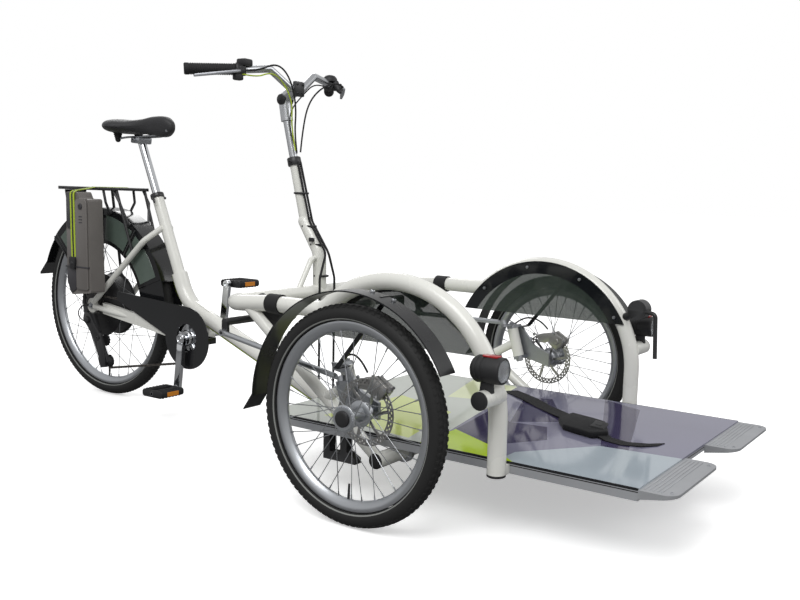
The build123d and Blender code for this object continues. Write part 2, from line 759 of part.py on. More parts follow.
# Handlebar with stem, and its grips
bar_places = (
    # ahead of the clamp, outwards, above it: bend, start of the grip, end of the grip
    (-15.0, 95.0, 48.0), (-28.0, 180.0, 36.0), (-135.0, 305.0, 28.0),
)
bar_rise, grip_start, grip_end = [(bar_clamp_x + ahead, out, bar_clamp_z + up) for ahead, out, up in bar_places]
grip_size = 33.0
grip_share = 0.15
quill_size = 24.0
stem_size = 36.0
stem_height = 66.0
stem_back = 12.0
bar_bend = 30.0
clamp_width = 46.0
column_top = along(column_waist, column_neck, 1 + quill_length / (column_neck_z - column_waist_z))
stem_top = (column_top[0] - stem_back, 0, column_top[2] + stem_height)
bar_clamp = (bar_clamp_x, 0, bar_clamp_z)
bar_rows = []
grip_rows = []
for name, sign in sides:
    grip_near = (grip_start[0], sign * grip_start[1], grip_start[2])
    grip_far = (grip_end[0], sign * grip_end[1], grip_end[2])
    bar_rows.append((((bar_clamp_x, -sign * handlebar_tube / 2, bar_clamp_z),
                      (bar_clamp_x, sign * clamp_width / 2, bar_clamp_z),
                      (bar_rise[0], sign * bar_rise[1], bar_rise[2]), grip_near, grip_far), handlebar_tube, bar_bend / 2))
    grip_rows.append(((along(grip_near, grip_far, grip_share), grip_far), grip_size, 0))
bar_bars = bars(bar_rows)
grips = bars(grip_rows)
stem_bars = bars(((((column_neck_x, 0, column_neck_z + seat_gap), column_top), quill_size, 0),
                  ((column_top, stem_top), stem_size, 0), ((stem_top, bar_clamp), stem_size, 0)))
with BuildPart() as handlebar:
    add(stem_bars)
    add(bar_bars)
    add(grips, mode=Mode.SUBTRACT)
    add(column_bars, mode=Mode.SUBTRACT)

# Brackets, switches and brake levers on the handlebar
bracket_size = 36.0
bracket_end_share = 0.13
switch_length = 34.0
switch_height = 30.0
switch_corner = 7.0
lever_reach = 44.0
lever_drop = 20.0
lever_start_share = 0.75
lever_end_share = 0.82
bar_lever_size = 11.0
control_rows = []
grip_run = Vector(grip_end[0] - grip_start[0], grip_end[1] - grip_start[1], 0).normalized()
for name, sign in sides:
    grip_near = (grip_start[0], sign * grip_start[1], grip_start[2])
    grip_far = (grip_end[0], sign * grip_end[1], grip_end[2])
    outwards = Vector(grip_run.Y, -sign * grip_run.X, 0) * lever_reach
    control_rows.append(((grip_near, along(grip_near, grip_far, bracket_end_share)), bracket_size, 0))
    lever_end = Vector(*along(grip_near, grip_far, lever_end_share)) + outwards - Vector(0, 0, lever_drop)
    bracket_middle = along(grip_near, grip_far, bracket_end_share / 2)
    lever_start = Vector(*bracket_middle) + outwards * lever_start_share - Vector(0, 0, lever_drop / 2)
    control_rows.append(((bracket_middle, tuple(lever_start), tuple(lever_end)),
                         bar_lever_size, bar_lever_size))
control_bars = bars(control_rows)
with BuildPart() as bar_controls:
    add(control_bars)
    for name, sign in sides:
        with BuildSketch(Plane.XY.offset(grip_start[2])):
            with Locations((grip_start[0], sign * grip_start[1])):
                RectangleRounded(switch_length, switch_length, switch_corner)
        extrude(amount=switch_height)
    add(bar_bars, mode=Mode.SUBTRACT)
    add(grips, mode=Mode.SUBTRACT)

# Cables from the handlebar's neck down the column and back below the main tube
cable_size = 7.0
cable_bend = 40.0
cable_y = 6.0
cable_forward = column_tube / 2 + cable_size / 2 + seat_gap
cable_neck_forward = column_upper_tube / 2 + cable_size / 2 + seat_gap
cable_below = main_tube / 2 + cable_size + seat_gap
cable_points = (
    # x, z
    (column_neck_x + cable_neck_forward, column_neck_z), (column_waist_x + cable_forward, column_waist_z),
    (column_knee_x + cable_forward + cable_size, column_knee_z),
    (column_foot_x + cross_tube / 2 + cable_size, cross_height + cross_tube),
    (column_foot_x + cross_tube / 2 + cable_size, main_level - cable_below + main_tube),
)
cable_bars = bars([([(x, sign * (cable_y if number < 3 else main_tube / 2 + cable_size), z)
                     for number, (x, z) in enumerate(cable_points)], cable_size, cable_bend) for name, sign in sides])
with BuildPart() as cables:
    add(cable_bars)
    add(column_bars, mode=Mode.SUBTRACT)
    add(front_frame.part, mode=Mode.SUBTRACT)

# Steering relay shaft with a drop arm at each end, and the push rods to the knuckles
arm_offset = {"left": 48.0, "right": 28.0}
arm_thickness = 8.0
arm_width = 20.0
eye_size = 18.0
eye_thickness = 12.0
pin_size = 8.0
pin_gap = 1.1
right_arm_height = 305.0
lug_thickness = 9.0
lug_gap = 0.5
plate_start = 424.0
plate_thickness = 10.0
plate_width = 40.0
rod_y = {name: sign * kingpin_half - arm_offset[name] for name, sign in sides}
lug_top = lug_gap + lug_thickness
eye_lift = eye_thickness / 2 + pin_gap
eye_seat = eye_thickness / 2 + seat_gap


def on_kingpin(sign, distance, offset):
    """The point at a distance up the kingpin's line from its upper end, moved sideways."""
    return Vector(kingpin_top_x, sign * kingpin_half + offset, kingpin_top) + kingpin_axis * distance


arm_rise = {"left": lug_top, "right": (right_arm_height - kingpin_top) / kingpin_axis.Z}
rod_front = {name: on_kingpin(sign, arm_rise[name] + arm_thickness + eye_lift, -arm_offset[name])
             for name, sign in sides}
rod_rear = {name: Vector(relay_x, rod_y[name], relay_height - arm_offset[name] * kingpin_axis.Z)
            for name, sign in sides}
relay_ends = {"left": rod_y["left"] - eye_seat, "right": rod_y["right"] + eye_seat + arm_thickness}
with BuildPart() as steering_relay:
    with BuildSketch(side_view(relay_ends["left"])):
        with Locations((relay_x, relay_height)):
            Circle(relay_size / 2)
    extrude(amount=relay_ends["left"] - relay_ends["right"] + arm_thickness)
    for name, sign in sides:
        drop = relay_height - rod_rear[name].Z
        with BuildSketch(side_view(relay_ends[name])):
            with Locations((relay_x, relay_height - drop / 2)):
                SlotCenterToCenter(drop, arm_width, rotation=90)
        extrude(amount=arm_thickness)
        with BuildSketch(side_view(rod_y[name] + eye_seat + overrun)):
            with Locations((relay_x, rod_rear[name].Z)):
                Circle(pin_size / 2)
        extrude(amount=2 * (eye_seat + overrun))

rods = {}
for name, sign in sides:
    front, rear = rod_front[name], rod_rear[name]
    reach = (rear - front).normalized()
    eyes = ((front, kingpin_axis, pin_gap), (rear, Vector(0, 1, 0), seat_gap))
    eye_void = eye_size
    with BuildPart() as rod:
        with BuildSketch(Plane(origin=front + reach * eye_size / 4, z_dir=reach)):
            Circle(rod_size / 2)
        extrude(amount=(rear - front).length - eye_size / 2)
        for middle, axis, gap in eyes:
            with BuildSketch(Plane(origin=middle - axis * eye_thickness / 2, z_dir=axis)):
                Circle(eye_size / 2)
            extrude(amount=eye_thickness)
        for middle, axis, gap in eyes:
            with BuildSketch(Plane(origin=middle - axis * eye_size, z_dir=axis)):
                Circle(pin_size / 2 + gap)
            extrude(amount=2 * eye_size, mode=Mode.SUBTRACT)
            for start in (middle - axis * (eye_thickness / 2 + eye_void), middle + axis * eye_thickness / 2):
                with BuildSketch(Plane(origin=start, z_dir=axis)):
                    Circle(arm_width / 2 + running_gap)
                extrude(amount=eye_void, mode=Mode.SUBTRACT)
    rods[name] = rod.part

# Knuckles: kingpin bolt, two lugs, the plate to the axle and the steering arm
axle_outer = half_track + hub_half_length - overrun
knuckles = {}
for name, sign in sides:
    low = Vector(kingpin_bottom_x, sign * kingpin_half, kingpin_bottom)
    high = Vector(kingpin_top_x, sign * kingpin_half, kingpin_top)
    lower = low - kingpin_axis * lug_top
    upper = high + kingpin_axis * lug_top
    lug_reach = plate_start + plate_thickness - kingpin_half
    with BuildPart() as knuckle:
        with BuildSketch(Plane(origin=lower, z_dir=kingpin_axis)):
            Circle(kingpin_bolt / 2)
        extrude(amount=(upper - lower).length)
        for start in (lower, high + kingpin_axis * lug_gap):
            with BuildSketch(Plane(origin=start, x_dir=(0, 1, 0), z_dir=kingpin_axis)):
                Circle(housing_size / 2)
                with Locations((sign * lug_reach / 2, 0)):
                    Rectangle(lug_reach, housing_size)
            extrude(amount=lug_thickness)
        with BuildSketch(side_view(max(sign * plate_start, sign * (plate_start + plate_thickness)))):
            with BuildLine():
                Polyline((lower.X - plate_width / 2, lower.Z), (upper.X - plate_width / 2, upper.Z),
                         (upper.X + plate_width / 2, upper.Z), (lower.X + plate_width, front_wheel_radius + plate_width),
                         (plate_width / 2, front_wheel_radius + plate_width / 2),
                         (plate_width / 2, front_wheel_radius - plate_width / 2), (lower.X + plate_width / 2, lower.Z),
                         close=True)
            make_face()
        extrude(amount=plate_thickness)
        with BuildSketch(side_view(max(sign * plate_start, sign * axle_outer))):
            with Locations((0, front_wheel_radius)):
                Circle(axle_size / 2)
        extrude(amount=axle_outer - plate_start)
        arm_pin = on_kingpin(sign, arm_rise[name], -arm_offset[name])
        if sign < 0:
            with BuildSketch(Plane(origin=arm_pin, z_dir=kingpin_axis)):
                Circle(eye_size / 2 + running_gap)
            extrude(amount=arm_thickness + 2 * eye_lift + running_gap, mode=Mode.SUBTRACT)
            with BuildSketch(Plane(origin=rod_front[name], z_dir=rod_rear[name] - rod_front[name])):
                Circle(rod_size / 2 + running_gap)
            extrude(amount=2 * plate_width, mode=Mode.SUBTRACT)
        arm_reach = (kingpin_half - abs(arm_pin.Y)) if sign > 0 else arm_width
        with BuildSketch(Plane(origin=arm_pin, x_dir=(0, 1, 0) if sign > 0 else (1, 0, 0), z_dir=kingpin_axis)):
            with Locations((arm_reach / 2, 0)):
                Rectangle(arm_reach, arm_width)
            Circle(arm_width / 2)
        extrude(amount=arm_thickness)
        with BuildSketch(Plane(origin=arm_pin, z_dir=kingpin_axis)):
            Circle(pin_size / 2)
        extrude(amount=arm_thickness + 2 * eye_lift)
    knuckles[name] = knuckle.part

# Brake calipers, which straddle the rotors and are bolted to the knuckles' plates
caliper_outer = 468.0
caliper_bracket = 10.0
pad_gap = 2.0
caliper_bracket_outline = (
    # ahead of the axle, above it
    (-62.0, 66.0), (-20.0, 91.0), (50.0, 86.0), (50.0, 19.0), (0.0, 15.0), (-45.0, 34.0),
)
caliper_outline = (
    # ahead of the axle, above it
    (-12.0, 89.0), (38.0, 94.0), (54.0, 74.0), (54.0, 28.0), (34.0, 24.0), (0.0, 36.0), (-12.0, 44.0),
)
caliper_inner = plate_start + plate_thickness + seat_gap
rotor_y = half_track - rotor_inboard
with BuildPart() as caliper_left:
    for outline, width in ((caliper_bracket_outline, caliper_bracket), (caliper_outline, caliper_outer - caliper_inner)):
        with BuildSketch(side_view(caliper_inner + width)):
            with BuildLine():
                Polyline(*[(ahead, front_wheel_radius + up) for ahead, up in outline], close=True)
            make_face()
        extrude(amount=width)
    with BuildSketch(side_view(rotor_y + rotor_thickness / 2 + pad_gap)):
        with Locations((0, front_wheel_radius)):
            Circle(rotor_radius + pad_gap)
    extrude(amount=rotor_thickness + 2 * pad_gap, mode=Mode.SUBTRACT)

# Mudguards over the front wheels
front_guard_clear = 27.0
front_guard_half = 28.0
front_guard_start = 27.0
front_guard_end = 178.0
front_flap_angle = 185.0
front_flap_flare = 34.0
stay_strip = 14.0
stay_strip_thickness = 3.0
stay_strip_y = 466.0
stay_strip_angle = 76.0
stay_strip_rise = 4.0
front_guard_radius = front_wheel_radius + front_guard_clear
front_centre = (0, front_wheel_radius)
front_sheet = arc_band(front_centre, front_guard_radius, front_guard_radius + guard_thickness,
                       front_guard_start, front_guard_end, half_track, 2 * front_guard_half)
with BuildPart() as mudguard_front_left:
    add(front_sheet)
    with BuildSketch(side_view(half_track + front_guard_half)):
        with BuildLine():
            Polyline(polar(front_centre, front_guard_radius, front_guard_end - overrun),
                     polar(front_centre, front_guard_radius + guard_thickness, front_guard_end - overrun),
                     polar(front_centre, front_guard_radius + front_flap_flare, front_flap_angle),
                     polar(front_centre, front_guard_radius + front_flap_flare - guard_thickness, front_flap_angle),
                     close=True)
        make_face()
    extrude(amount=2 * front_guard_half)
    strip_top = polar(front_centre, front_guard_radius + guard_thickness / 2, stay_strip_angle)
    strip_foot = (kingpin_top_x + stay_strip, kingpin_top + stay_strip_rise)
    with BuildSketch(side_view(stay_strip_y + stay_strip_thickness)):
        with BuildLine():
            Polyline((strip_top[0] - stay_strip / 2, strip_top[1]), (strip_top[0] + stay_strip / 2, strip_top[1]),
                     (strip_foot[0] + stay_strip, strip_foot[1]), (strip_foot[0], strip_foot[1]), close=True)
        make_face()
    extrude(amount=stay_strip_thickness)
    with BuildSketch(side_view(half_track)):
        with Locations(strip_top):
            Rectangle(stay_strip, guard_thickness)
    extrude(amount=half_track - stay_strip_y)
    with BuildSketch(Plane.XY.offset(strip_foot[1])):
        with Locations((strip_foot[0] + stay_strip / 2, (plate_start + stay_strip_y + stay_strip_thickness) / 2)):
            Rectangle(stay_strip, stay_strip_y + stay_strip_thickness - plate_start)
    extrude(amount=stay_strip_thickness)
    add(knuckles["left"], mode=Mode.SUBTRACT)

# Platform: side profiles, cross members, pivot brackets, deck and ramp tips
profile_height = 22.0
profile_width = 26.0
deck_thickness = 5.0
member_height = 12.0
bracket_thickness = 12.0
bracket_outer = 28.0
bracket_y = 300.0
profile_top = platform_top - deck_thickness
profile_middle = profile_top - profile_height / 2
platform_middle = (platform_rear + platform_front) / 2
member_shares = (0, 0.2, 0.62, 0.8, 1.0)
member_span = platform_front - platform_rear - profile_width
with BuildPart() as platform_frame:
    for name, sign in sides:
        with BuildSketch(side_view(max(sign * platform_half_width, sign * (platform_half_width - profile_width)))):
            with Locations((platform_middle, profile_middle)):
                Rectangle(platform_front - platform_rear, profile_height)
        extrude(amount=profile_width)
        with BuildSketch(side_view(sign * bracket_y + bracket_thickness / 2)):
            with Locations((0, tilt_axis_height)):
                Circle(bracket_outer)
            with Locations((0, profile_top - bracket_outer / 2)):
                Rectangle(2 * bracket_outer, bracket_outer)
            with Locations((0, tilt_axis_height)):
                Circle(lower_tube / 2 + seat_gap, mode=Mode.SUBTRACT)
        extrude(amount=bracket_thickness)
    with BuildSketch(Plane.XY.offset(profile_top)):
        for share in member_shares:
            with Locations((platform_rear + profile_width / 2 + member_span * share, 0)):
                Rectangle(profile_width, 2 * (platform_half_width - profile_width / 2))
        with Locations((0, 0)):
            Rectangle(2 * bracket_outer, 2 * (platform_half_width - profile_width / 2))
    extrude(amount=-member_height)

with BuildPart() as platform_deck:
    with BuildSketch(Plane.XY.offset(profile_top)):
        with Locations((platform_middle, 0)):
            Rectangle(platform_front - platform_rear, 2 * platform_half_width)
    extrude(amount=deck_thickness)

tip_drop = 3.0
tip_rear_height = 20.0
tip_front_height = 6.0
tip_corner = 30.0
tip_top = platform_top - tip_drop
with BuildPart() as ramp_tips:
    for name, sign in sides:
        with BuildSketch(side_view(max(sign * platform_half_width, sign * (platform_half_width - tip_width)))):
            with BuildLine():
                Polyline((platform_front, tip_top), (platform_front + tip_length, tip_top),
                         (platform_front + tip_length, tip_top - tip_front_height),
                         (platform_front, tip_top - tip_rear_height), close=True)
            make_face()
        extrude(amount=tip_width)
    fillet(ramp_tips.edges().filter_by(Axis.Z).group_by(Axis.X)[-1], tip_corner)

# Hoops with their front posts and outward stubs
leg_angle = 122.0
leg_blend = 60.0
stub_height = 330.0
stub_reach = 84.0
hoop_front_x = hoop_centre_x + hoop_radius
hoop_centre = (hoop_centre_x, hoop_centre_z)
hoop_marks = [polar(hoop_centre, hoop_radius, angle) for angle in (leg_angle, leg_angle / 2)]
with BuildPart() as hoop_left:
    with BuildLine() as run:
        ThreePointArc(*[(x, hoop_plane, z) for x, z in hoop_marks], (hoop_front_x, hoop_plane, hoop_centre_z))
        Line((hoop_front_x, hoop_plane, hoop_centre_z), (hoop_front_x, hoop_plane, post_bottom))
    with BuildSketch(Plane(origin=run.line @ 0, z_dir=run.line % 0)):
        Circle(hoop_tube / 2)
    sweep(path=run.line)
    with BuildLine() as leg:
        high = hoop_marks[0]
        Line((high[0], hoop_plane, high[1]), (high[0] - leg_blend, hoop_plane, hoop_leg_height))
        Line((high[0] - leg_blend, hoop_plane, hoop_leg_height), (hoop_leg_end, hoop_plane, hoop_leg_height))
    with BuildSketch(Plane(origin=leg.line @ 0, z_dir=leg.line % 0)):
        Circle(hoop_tube / 2)
    sweep(path=leg.line, transition=Transition.ROUND)
    with BuildSketch(side_view(hoop_plane + stub_reach)):
        with Locations((hoop_front_x, stub_height)):
            Circle(hoop_tube / 2 - overrun)
    extrude(amount=stub_reach)
    with BuildSketch(side_view(hoop_plane)):
        with Locations((hoop_front_x, profile_middle)):
            Rectangle(hoop_tube - 2 * overrun, profile_height)
    extrude(amount=hoop_plane - platform_half_width - seat_gap)

panel_thickness = 4.0
panel_low = 402.0
with BuildPart() as panel_left:
    with BuildSketch(side_view(hoop_plane - hoop_tube / 2 - seat_gap)):
        with Locations(hoop_centre):
            Circle(hoop_radius + hoop_tube / 4)
        with Locations((hoop_centre_x, panel_low)):
            Rectangle(3 * hoop_radius, 3 * hoop_radius, align=(Align.CENTER, Align.MAX), mode=Mode.SUBTRACT)
    extrude(amount=panel_thickness)

# Drum and lever on the left hoop that let the platform down
drum_size = 56.0
drum_length = 40.0
drum_angle = 30.6
drum_reach = 360.0
lever_size = 12.0
lever_rows = (
    # ahead of the drum, inboard of the hoop's plane, above the drum
    (0, 30.0, 0), (55.0, 38.0, -7.0), (62.0, 42.0, -130.0),
)
drum_x, drum_z = polar(hoop_centre, drum_reach, drum_angle)
hold_x, hold_z = polar(hoop_centre, hoop_radius, drum_angle)
lever_bars = bars((
    ([(drum_x + ahead, hoop_plane - inboard, drum_z + up) for ahead, inboard, up in lever_rows], lever_size, lever_size),
    (((drum_x, hoop_plane - drum_length / 2, drum_z), (hold_x, hoop_plane, hold_z)), 2 * lever_size, 0),
))
with BuildPart() as release_lever:
    add(lever_bars)
    with BuildSketch(side_view(hoop_plane + overrun)):
        with Locations((drum_x, drum_z)):
            Circle(drum_size / 2)
    extrude(amount=drum_length)
    add(hoop_left.part, mode=Mode.SUBTRACT)

# Catches under the platform's edges
catch_inner = 318.0
catch_width = 24.0
catch_outline = (
    # x, above the side profile's lower face
    (-224.0, 1.0), (-148.0, 1.0), (-148.0, -43.0), (-120.0, -57.0), (-120.0, -71.0), (-224.0, -71.0),
)
catch_window = (
    # x, above the side profile's lower face
    (-203.0, -5.0), (-169.0, -5.0), (-169.0, -49.0), (-203.0, -49.0),
)
profile_bottom = profile_top - profile_height
with BuildPart() as catches:
    for name, sign in sides:
        with BuildSketch(side_view(max(sign * catch_inner, sign * (catch_inner + catch_width)))):
            for outline, mode in ((catch_outline, Mode.ADD), (catch_window, Mode.SUBTRACT)):
                with BuildLine():
                    Polyline(*[(x, profile_bottom + up) for x, up in outline], close=True)
                make_face(mode=mode)
        extrude(amount=catch_width)
    add(platform_frame.part, mode=Mode.SUBTRACT)

# Lamps on the hoops' stubs
lamp_size = 56.0
lamp_rear_x = 278.0
lamp_length = 68.0
lamp_y = 434.0
lamp_z = 394.0
with BuildPart() as lamp_left:
    with BuildSketch(Plane(origin=(lamp_rear_x, lamp_y, lamp_z), z_dir=(1, 0, 0))):
        Circle(lamp_size / 2)
    extrude(amount=lamp_length)
    with BuildSketch(Plane.XY.offset(lamp_z - lamp_size / 4)):
        with Locations((hoop_front_x, lamp_y)):
            Rectangle(lamp_size / 4, lamp_size / 3)
    extrude(amount=-(lamp_z - lamp_size / 4 - stub_height))
    add(hoop_left.part, mode=Mode.SUBTRACT)

# The origin lies below the middle of the overall length
rear_reach = wheelbase - polar((0, 0), guard_radius + flap_flare, flap_angle)[0]
front_reach = platform_front + tip_length
to_middle = Location(((rear_reach - front_reach) / 2, 0, 0))

finished = {
    "rear_frame": rear_frame.part, "rear_stays": rear_stays.part, "front_frame": front_frame.part,
    "steering_column": steering_column.part, "seat_post": seat_post, "saddle": saddle.part,
    "saddle_springs": saddle_springs.part, "rack": rack.part, "battery": battery.part,
    "mudguard_rear": mudguard_rear.part, "coat_guards": coat_guards.part,
    "wheel_rear": wheel_rear, "tyre_rear": tyre_rear,
    "wheel_front_left": wheel_front_left, "wheel_front_right": mirrored(wheel_front_left),
    "tyre_front_left": tyre_front_left, "tyre_front_right": mirrored(tyre_front_left),
    "crank": crank.part, "pedal_left": pedals["left"], "pedal_right": pedals["right"],
    "chain": chain.part, "chain_guard": chain_guard.part, "tensioner": tensioner.part,
    "handlebar": handlebar.part, "grips": grips, "steering_relay": steering_relay.part,
    "push_rod_left": rods["left"], "push_rod_right": rods["right"],
    "knuckle_left": knuckles["left"], "knuckle_right": knuckles["right"],
    "mudguard_front_left": mudguard_front_left.part, "mudguard_front_right": mirrored(mudguard_front_left.part),
    "platform_frame": platform_frame.part, "platform_deck": platform_deck.part, "ramp_tips": ramp_tips.part,
    "hoop_left": hoop_left.part, "hoop_right": mirrored(hoop_left.part),
    "buffers": buffers.part, "tie_downs": tie_downs.part, "release_lever": release_lever.part,
    "catches": catches.part, "bar_controls": bar_controls.part, "cables": cables.part,
    "caliper_left": caliper_left.part, "caliper_right": mirrored(caliper_left.part),
    "panel_left": panel_left.part, "panel_right": mirrored(panel_left.part),
    "lamp_left": lamp_left.part, "lamp_right": mirrored(lamp_left.part),
}
for label, part in finished.items():
    piece = part.moved(to_middle)
    piece.label = label
    export_step(piece, f"parts/{label}.step")
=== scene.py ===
import math

import bmesh
import bpy
from mathutils import Matrix, Vector


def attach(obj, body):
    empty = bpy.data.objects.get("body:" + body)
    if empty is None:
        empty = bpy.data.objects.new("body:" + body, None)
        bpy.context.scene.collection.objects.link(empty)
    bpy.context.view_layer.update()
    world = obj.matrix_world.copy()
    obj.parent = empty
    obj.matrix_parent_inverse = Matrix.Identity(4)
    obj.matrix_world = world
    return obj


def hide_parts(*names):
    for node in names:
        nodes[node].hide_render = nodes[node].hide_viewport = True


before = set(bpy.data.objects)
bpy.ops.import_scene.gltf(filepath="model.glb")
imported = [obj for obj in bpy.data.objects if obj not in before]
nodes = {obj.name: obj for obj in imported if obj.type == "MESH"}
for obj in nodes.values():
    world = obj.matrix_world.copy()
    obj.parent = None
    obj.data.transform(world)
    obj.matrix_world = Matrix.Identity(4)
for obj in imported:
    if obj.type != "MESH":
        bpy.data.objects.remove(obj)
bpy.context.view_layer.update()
print("stage: frame loaded,", len(nodes), "nodes")

shiftX = 0.594475  # metres from the origin forward to the front axle line
pairs = (("left", 1), ("right", -1))
frontAxle = (0, 256)  # side view places are x and z in mm, from the ground below the front axle line
rearAxle = (-1535, 327)
crankAxle = (-1050.0, 264.0)
hoopCentre = (19.0, 266.0)
halfTrack = 504


# Helpers
def spot(x, y, z):  # millimetres from the front axle line on the ground
    return Vector((x / 1000 + shiftX, y / 1000, z / 1000))


def onSide(place, y):  # a side view place at the width y
    return spot(place[0], y, place[1])


def polar(centre, radius, angle):  # degrees from forward in the side view
    turn = math.radians(angle)
    return centre[0] + radius * math.cos(turn), centre[1] + radius * math.sin(turn)


def shifted(place, corners, flip=1):
    return [(place[0] + flip * x, place[1] + z) for x, z in corners]


def hexColor(code):
    channels = [int(code[i:i + 2], 16) / 255 for i in (1, 3, 5)]
    return [c / 12.92 if c <= 0.04045 else ((c + 0.055) / 1.055) ** 2.4 for c in channels] + [1.0]


def addNode(tree, kind, settings=None, links=None):
    node = tree.nodes.new(kind)
    for name, value in (settings or {}).items():
        if isinstance(name, int) or name in node.inputs:
            node.inputs[name].default_value = value
        else:
            setattr(node, name, value)
    for name, source in (links or {}).items():
        tree.links.new(source, node.inputs[name])
    return node


def newMaterial(name):
    material = bpy.data.materials.new(name)
    material.use_nodes = True
    material.node_tree.nodes.clear()
    return material, material.node_tree


def closeMaterial(tree, settings, links):
    shader = addNode(tree, "ShaderNodeBsdfPrincipled", settings, links)
    addNode(tree, "ShaderNodeOutputMaterial", None, {"Surface": shader.outputs[0]})


def between(tree, value, low, high):  # 1 where the value lies between low and high
    over = addNode(tree, "ShaderNodeMath", {"operation": "GREATER_THAN", 1: low}, {0: value})
    under = addNode(tree, "ShaderNodeMath", {"operation": "LESS_THAN", 1: high}, {0: value})
    both = addNode(tree, "ShaderNodeMath", {"operation": "MULTIPLY"}, {0: over.outputs[0], 1: under.outputs[0]})
    return both.outputs[0]


# metres to the left of a line, seen from above if flat, else from the side
def across(tree, coords, start, end, flat=False):
    run = Vector((end[0] - start[0], end[1] - start[1])).normalized()
    normal = Vector((-run.y, run.x, 0)) if flat else Vector((-run.y, 0, run.x))
    origin = spot(start[0], start[1], 0) if flat else onSide(start, 0)
    moved = addNode(tree, "ShaderNodeVectorMath", {"operation": "SUBTRACT", 1: origin}, {0: coords})
    apart = addNode(tree, "ShaderNodeVectorMath", {"operation": "DOT_PRODUCT", 1: normal},
                    {0: moved.outputs[0]})
    return apart.outputs["Value"]


def fromAxle(tree, coords, place):  # metres from a line along Y through the place
    moved = addNode(tree, "ShaderNodeVectorMath", {"operation": "SUBTRACT", 1: place}, {0: coords})
    flat = addNode(tree, "ShaderNodeVectorMath", {"operation": "MULTIPLY", 1: (1, 0, 1)}, {0: moved.outputs[0]})
    return addNode(tree, "ShaderNodeVectorMath", {"operation": "LENGTH"}, {0: flat.outputs[0]}).outputs["Value"]


def tie(tree, source, socket):  # a hex colour or another node's output into a socket
    if isinstance(source, str):
        socket.default_value = hexColor(source)
    else:
        tree.links.new(source, socket)


def layer(tree, below, mask, color):
    mixed = addNode(tree, "ShaderNodeMix", {"data_type": "RGBA", 7: hexColor(color)}, {0: mask})
    tie(tree, below, mixed.inputs[6])
    return mixed.outputs[2]


# Of a surface, grain is the relief's size in mm, shade the darkest tint, spread how far the roughness wanders,
# wear the share of bare edge, and stretch draws the grain out along an axis
def surface(name, color, metallic=0.0, roughness=0.4, spread=0.1, grain=0.8, bump=0.1, shade=0.9, extra=None,
            paint=None, stretch=(1, 1, 1), wear=0.0, wearColor="#B8B8B8"):
    material, tree = newMaterial(name)
    coords = addNode(tree, "ShaderNodeTexCoord").outputs["Object"]
    drawn = addNode(tree, "ShaderNodeMapping", {"Scale": stretch}, {"Vector": coords})
    fine = addNode(tree, "ShaderNodeTexNoise", {"Scale": 1000 / grain, "Detail": 3.0},
                   {"Vector": drawn.outputs[0]})
    cloud = addNode(tree, "ShaderNodeTexNoise", {"Scale": 9.0, "Detail": 4.0}, {"Vector": coords})
    middle = {"From Min": 0.3, "From Max": 0.7}  # the range where noise mostly lies
    tint = addNode(tree, "ShaderNodeMapRange", {**middle, "To Min": shade, "To Max": 1.0},
                   {"Value": cloud.outputs["Fac"]})
    base = paint(tree, coords, color) if paint else color
    if wear:
        edge = addNode(tree, "ShaderNodeNewGeometry").outputs["Pointiness"]
        limits = {"From Min": 0.53, "From Max": 0.62, "To Min": 0.0, "To Max": wear}
        worn = addNode(tree, "ShaderNodeMapRange", limits, {"Value": edge})
        base = layer(tree, base, worn.outputs[0], wearColor)
    mixed = addNode(tree, "ShaderNodeMix", {"data_type": "RGBA", "blend_type": "MULTIPLY", 0: 1.0},
                    {7: tint.outputs[0]})
    tie(tree, base, mixed.inputs[6])
    limits = {**middle, "To Min": max(0.02, roughness - spread), "To Max": roughness + spread}
    rough = addNode(tree, "ShaderNodeMapRange", limits, {"Value": (fine if metallic else cloud).outputs["Fac"]})
    relief = addNode(tree, "ShaderNodeBump", {"Strength": bump, "Distance": grain / 2000},
                     {"Height": fine.outputs["Fac"]})
    closeMaterial(tree, {"Metallic": metallic, **(extra or {})},
                  {"Base Color": mixed.outputs[2], "Roughness": rough.outputs[0], "Normal": relief.outputs[0]})
    return material


# makes the mesh a piece that rides a body
def settle(name, mesh, body, *materials, replaces=(), slot=None, smooth=40):
    bmesh.ops.recalc_face_normals(mesh, faces=mesh.faces[:])
    data = bpy.data.meshes.new(name)
    mesh.to_mesh(data)
    mesh.free()
    for material in materials:
        data.materials.append(material)
    data.polygons.foreach_set("use_smooth", [True] * len(data.polygons))
    data.set_sharp_from_angle(angle=math.radians(smooth))
    piece = bpy.data.objects.new(name, data)
    bpy.context.scene.collection.objects.link(piece)
    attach(piece, body)
    if replaces:
        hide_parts(*replaces)
    return piece


# rows of radius and height in mm; a ring's profile is closed
def turned(mesh, rows, place, axis, steps=32, ring=False):
    axis = Vector(axis).normalized()
    out = axis.orthogonal().normalized()
    first = len(mesh.faces)
    points = [mesh.verts.new(place + axis * height / 1000 + out * radius / 1000) for radius, height in rows]
    edges = [mesh.edges.new(pair) for pair in zip(points, points[1:])]
    if ring:
        edges.append(mesh.edges.new((points[-1], points[0])))
    bmesh.ops.spin(mesh, geom=points + edges, cent=place, axis=axis, angle=math.tau, steps=steps,
                   use_merge=True)
    mesh.faces.ensure_lookup_table()
    made = {vert for face in mesh.faces[first:] for vert in face.verts}
    bmesh.ops.remove_doubles(mesh, verts=list(made), dist=0.000001)


def onlyVerts(items):
    return [item for item in items if isinstance(item, bmesh.types.BMVert)]


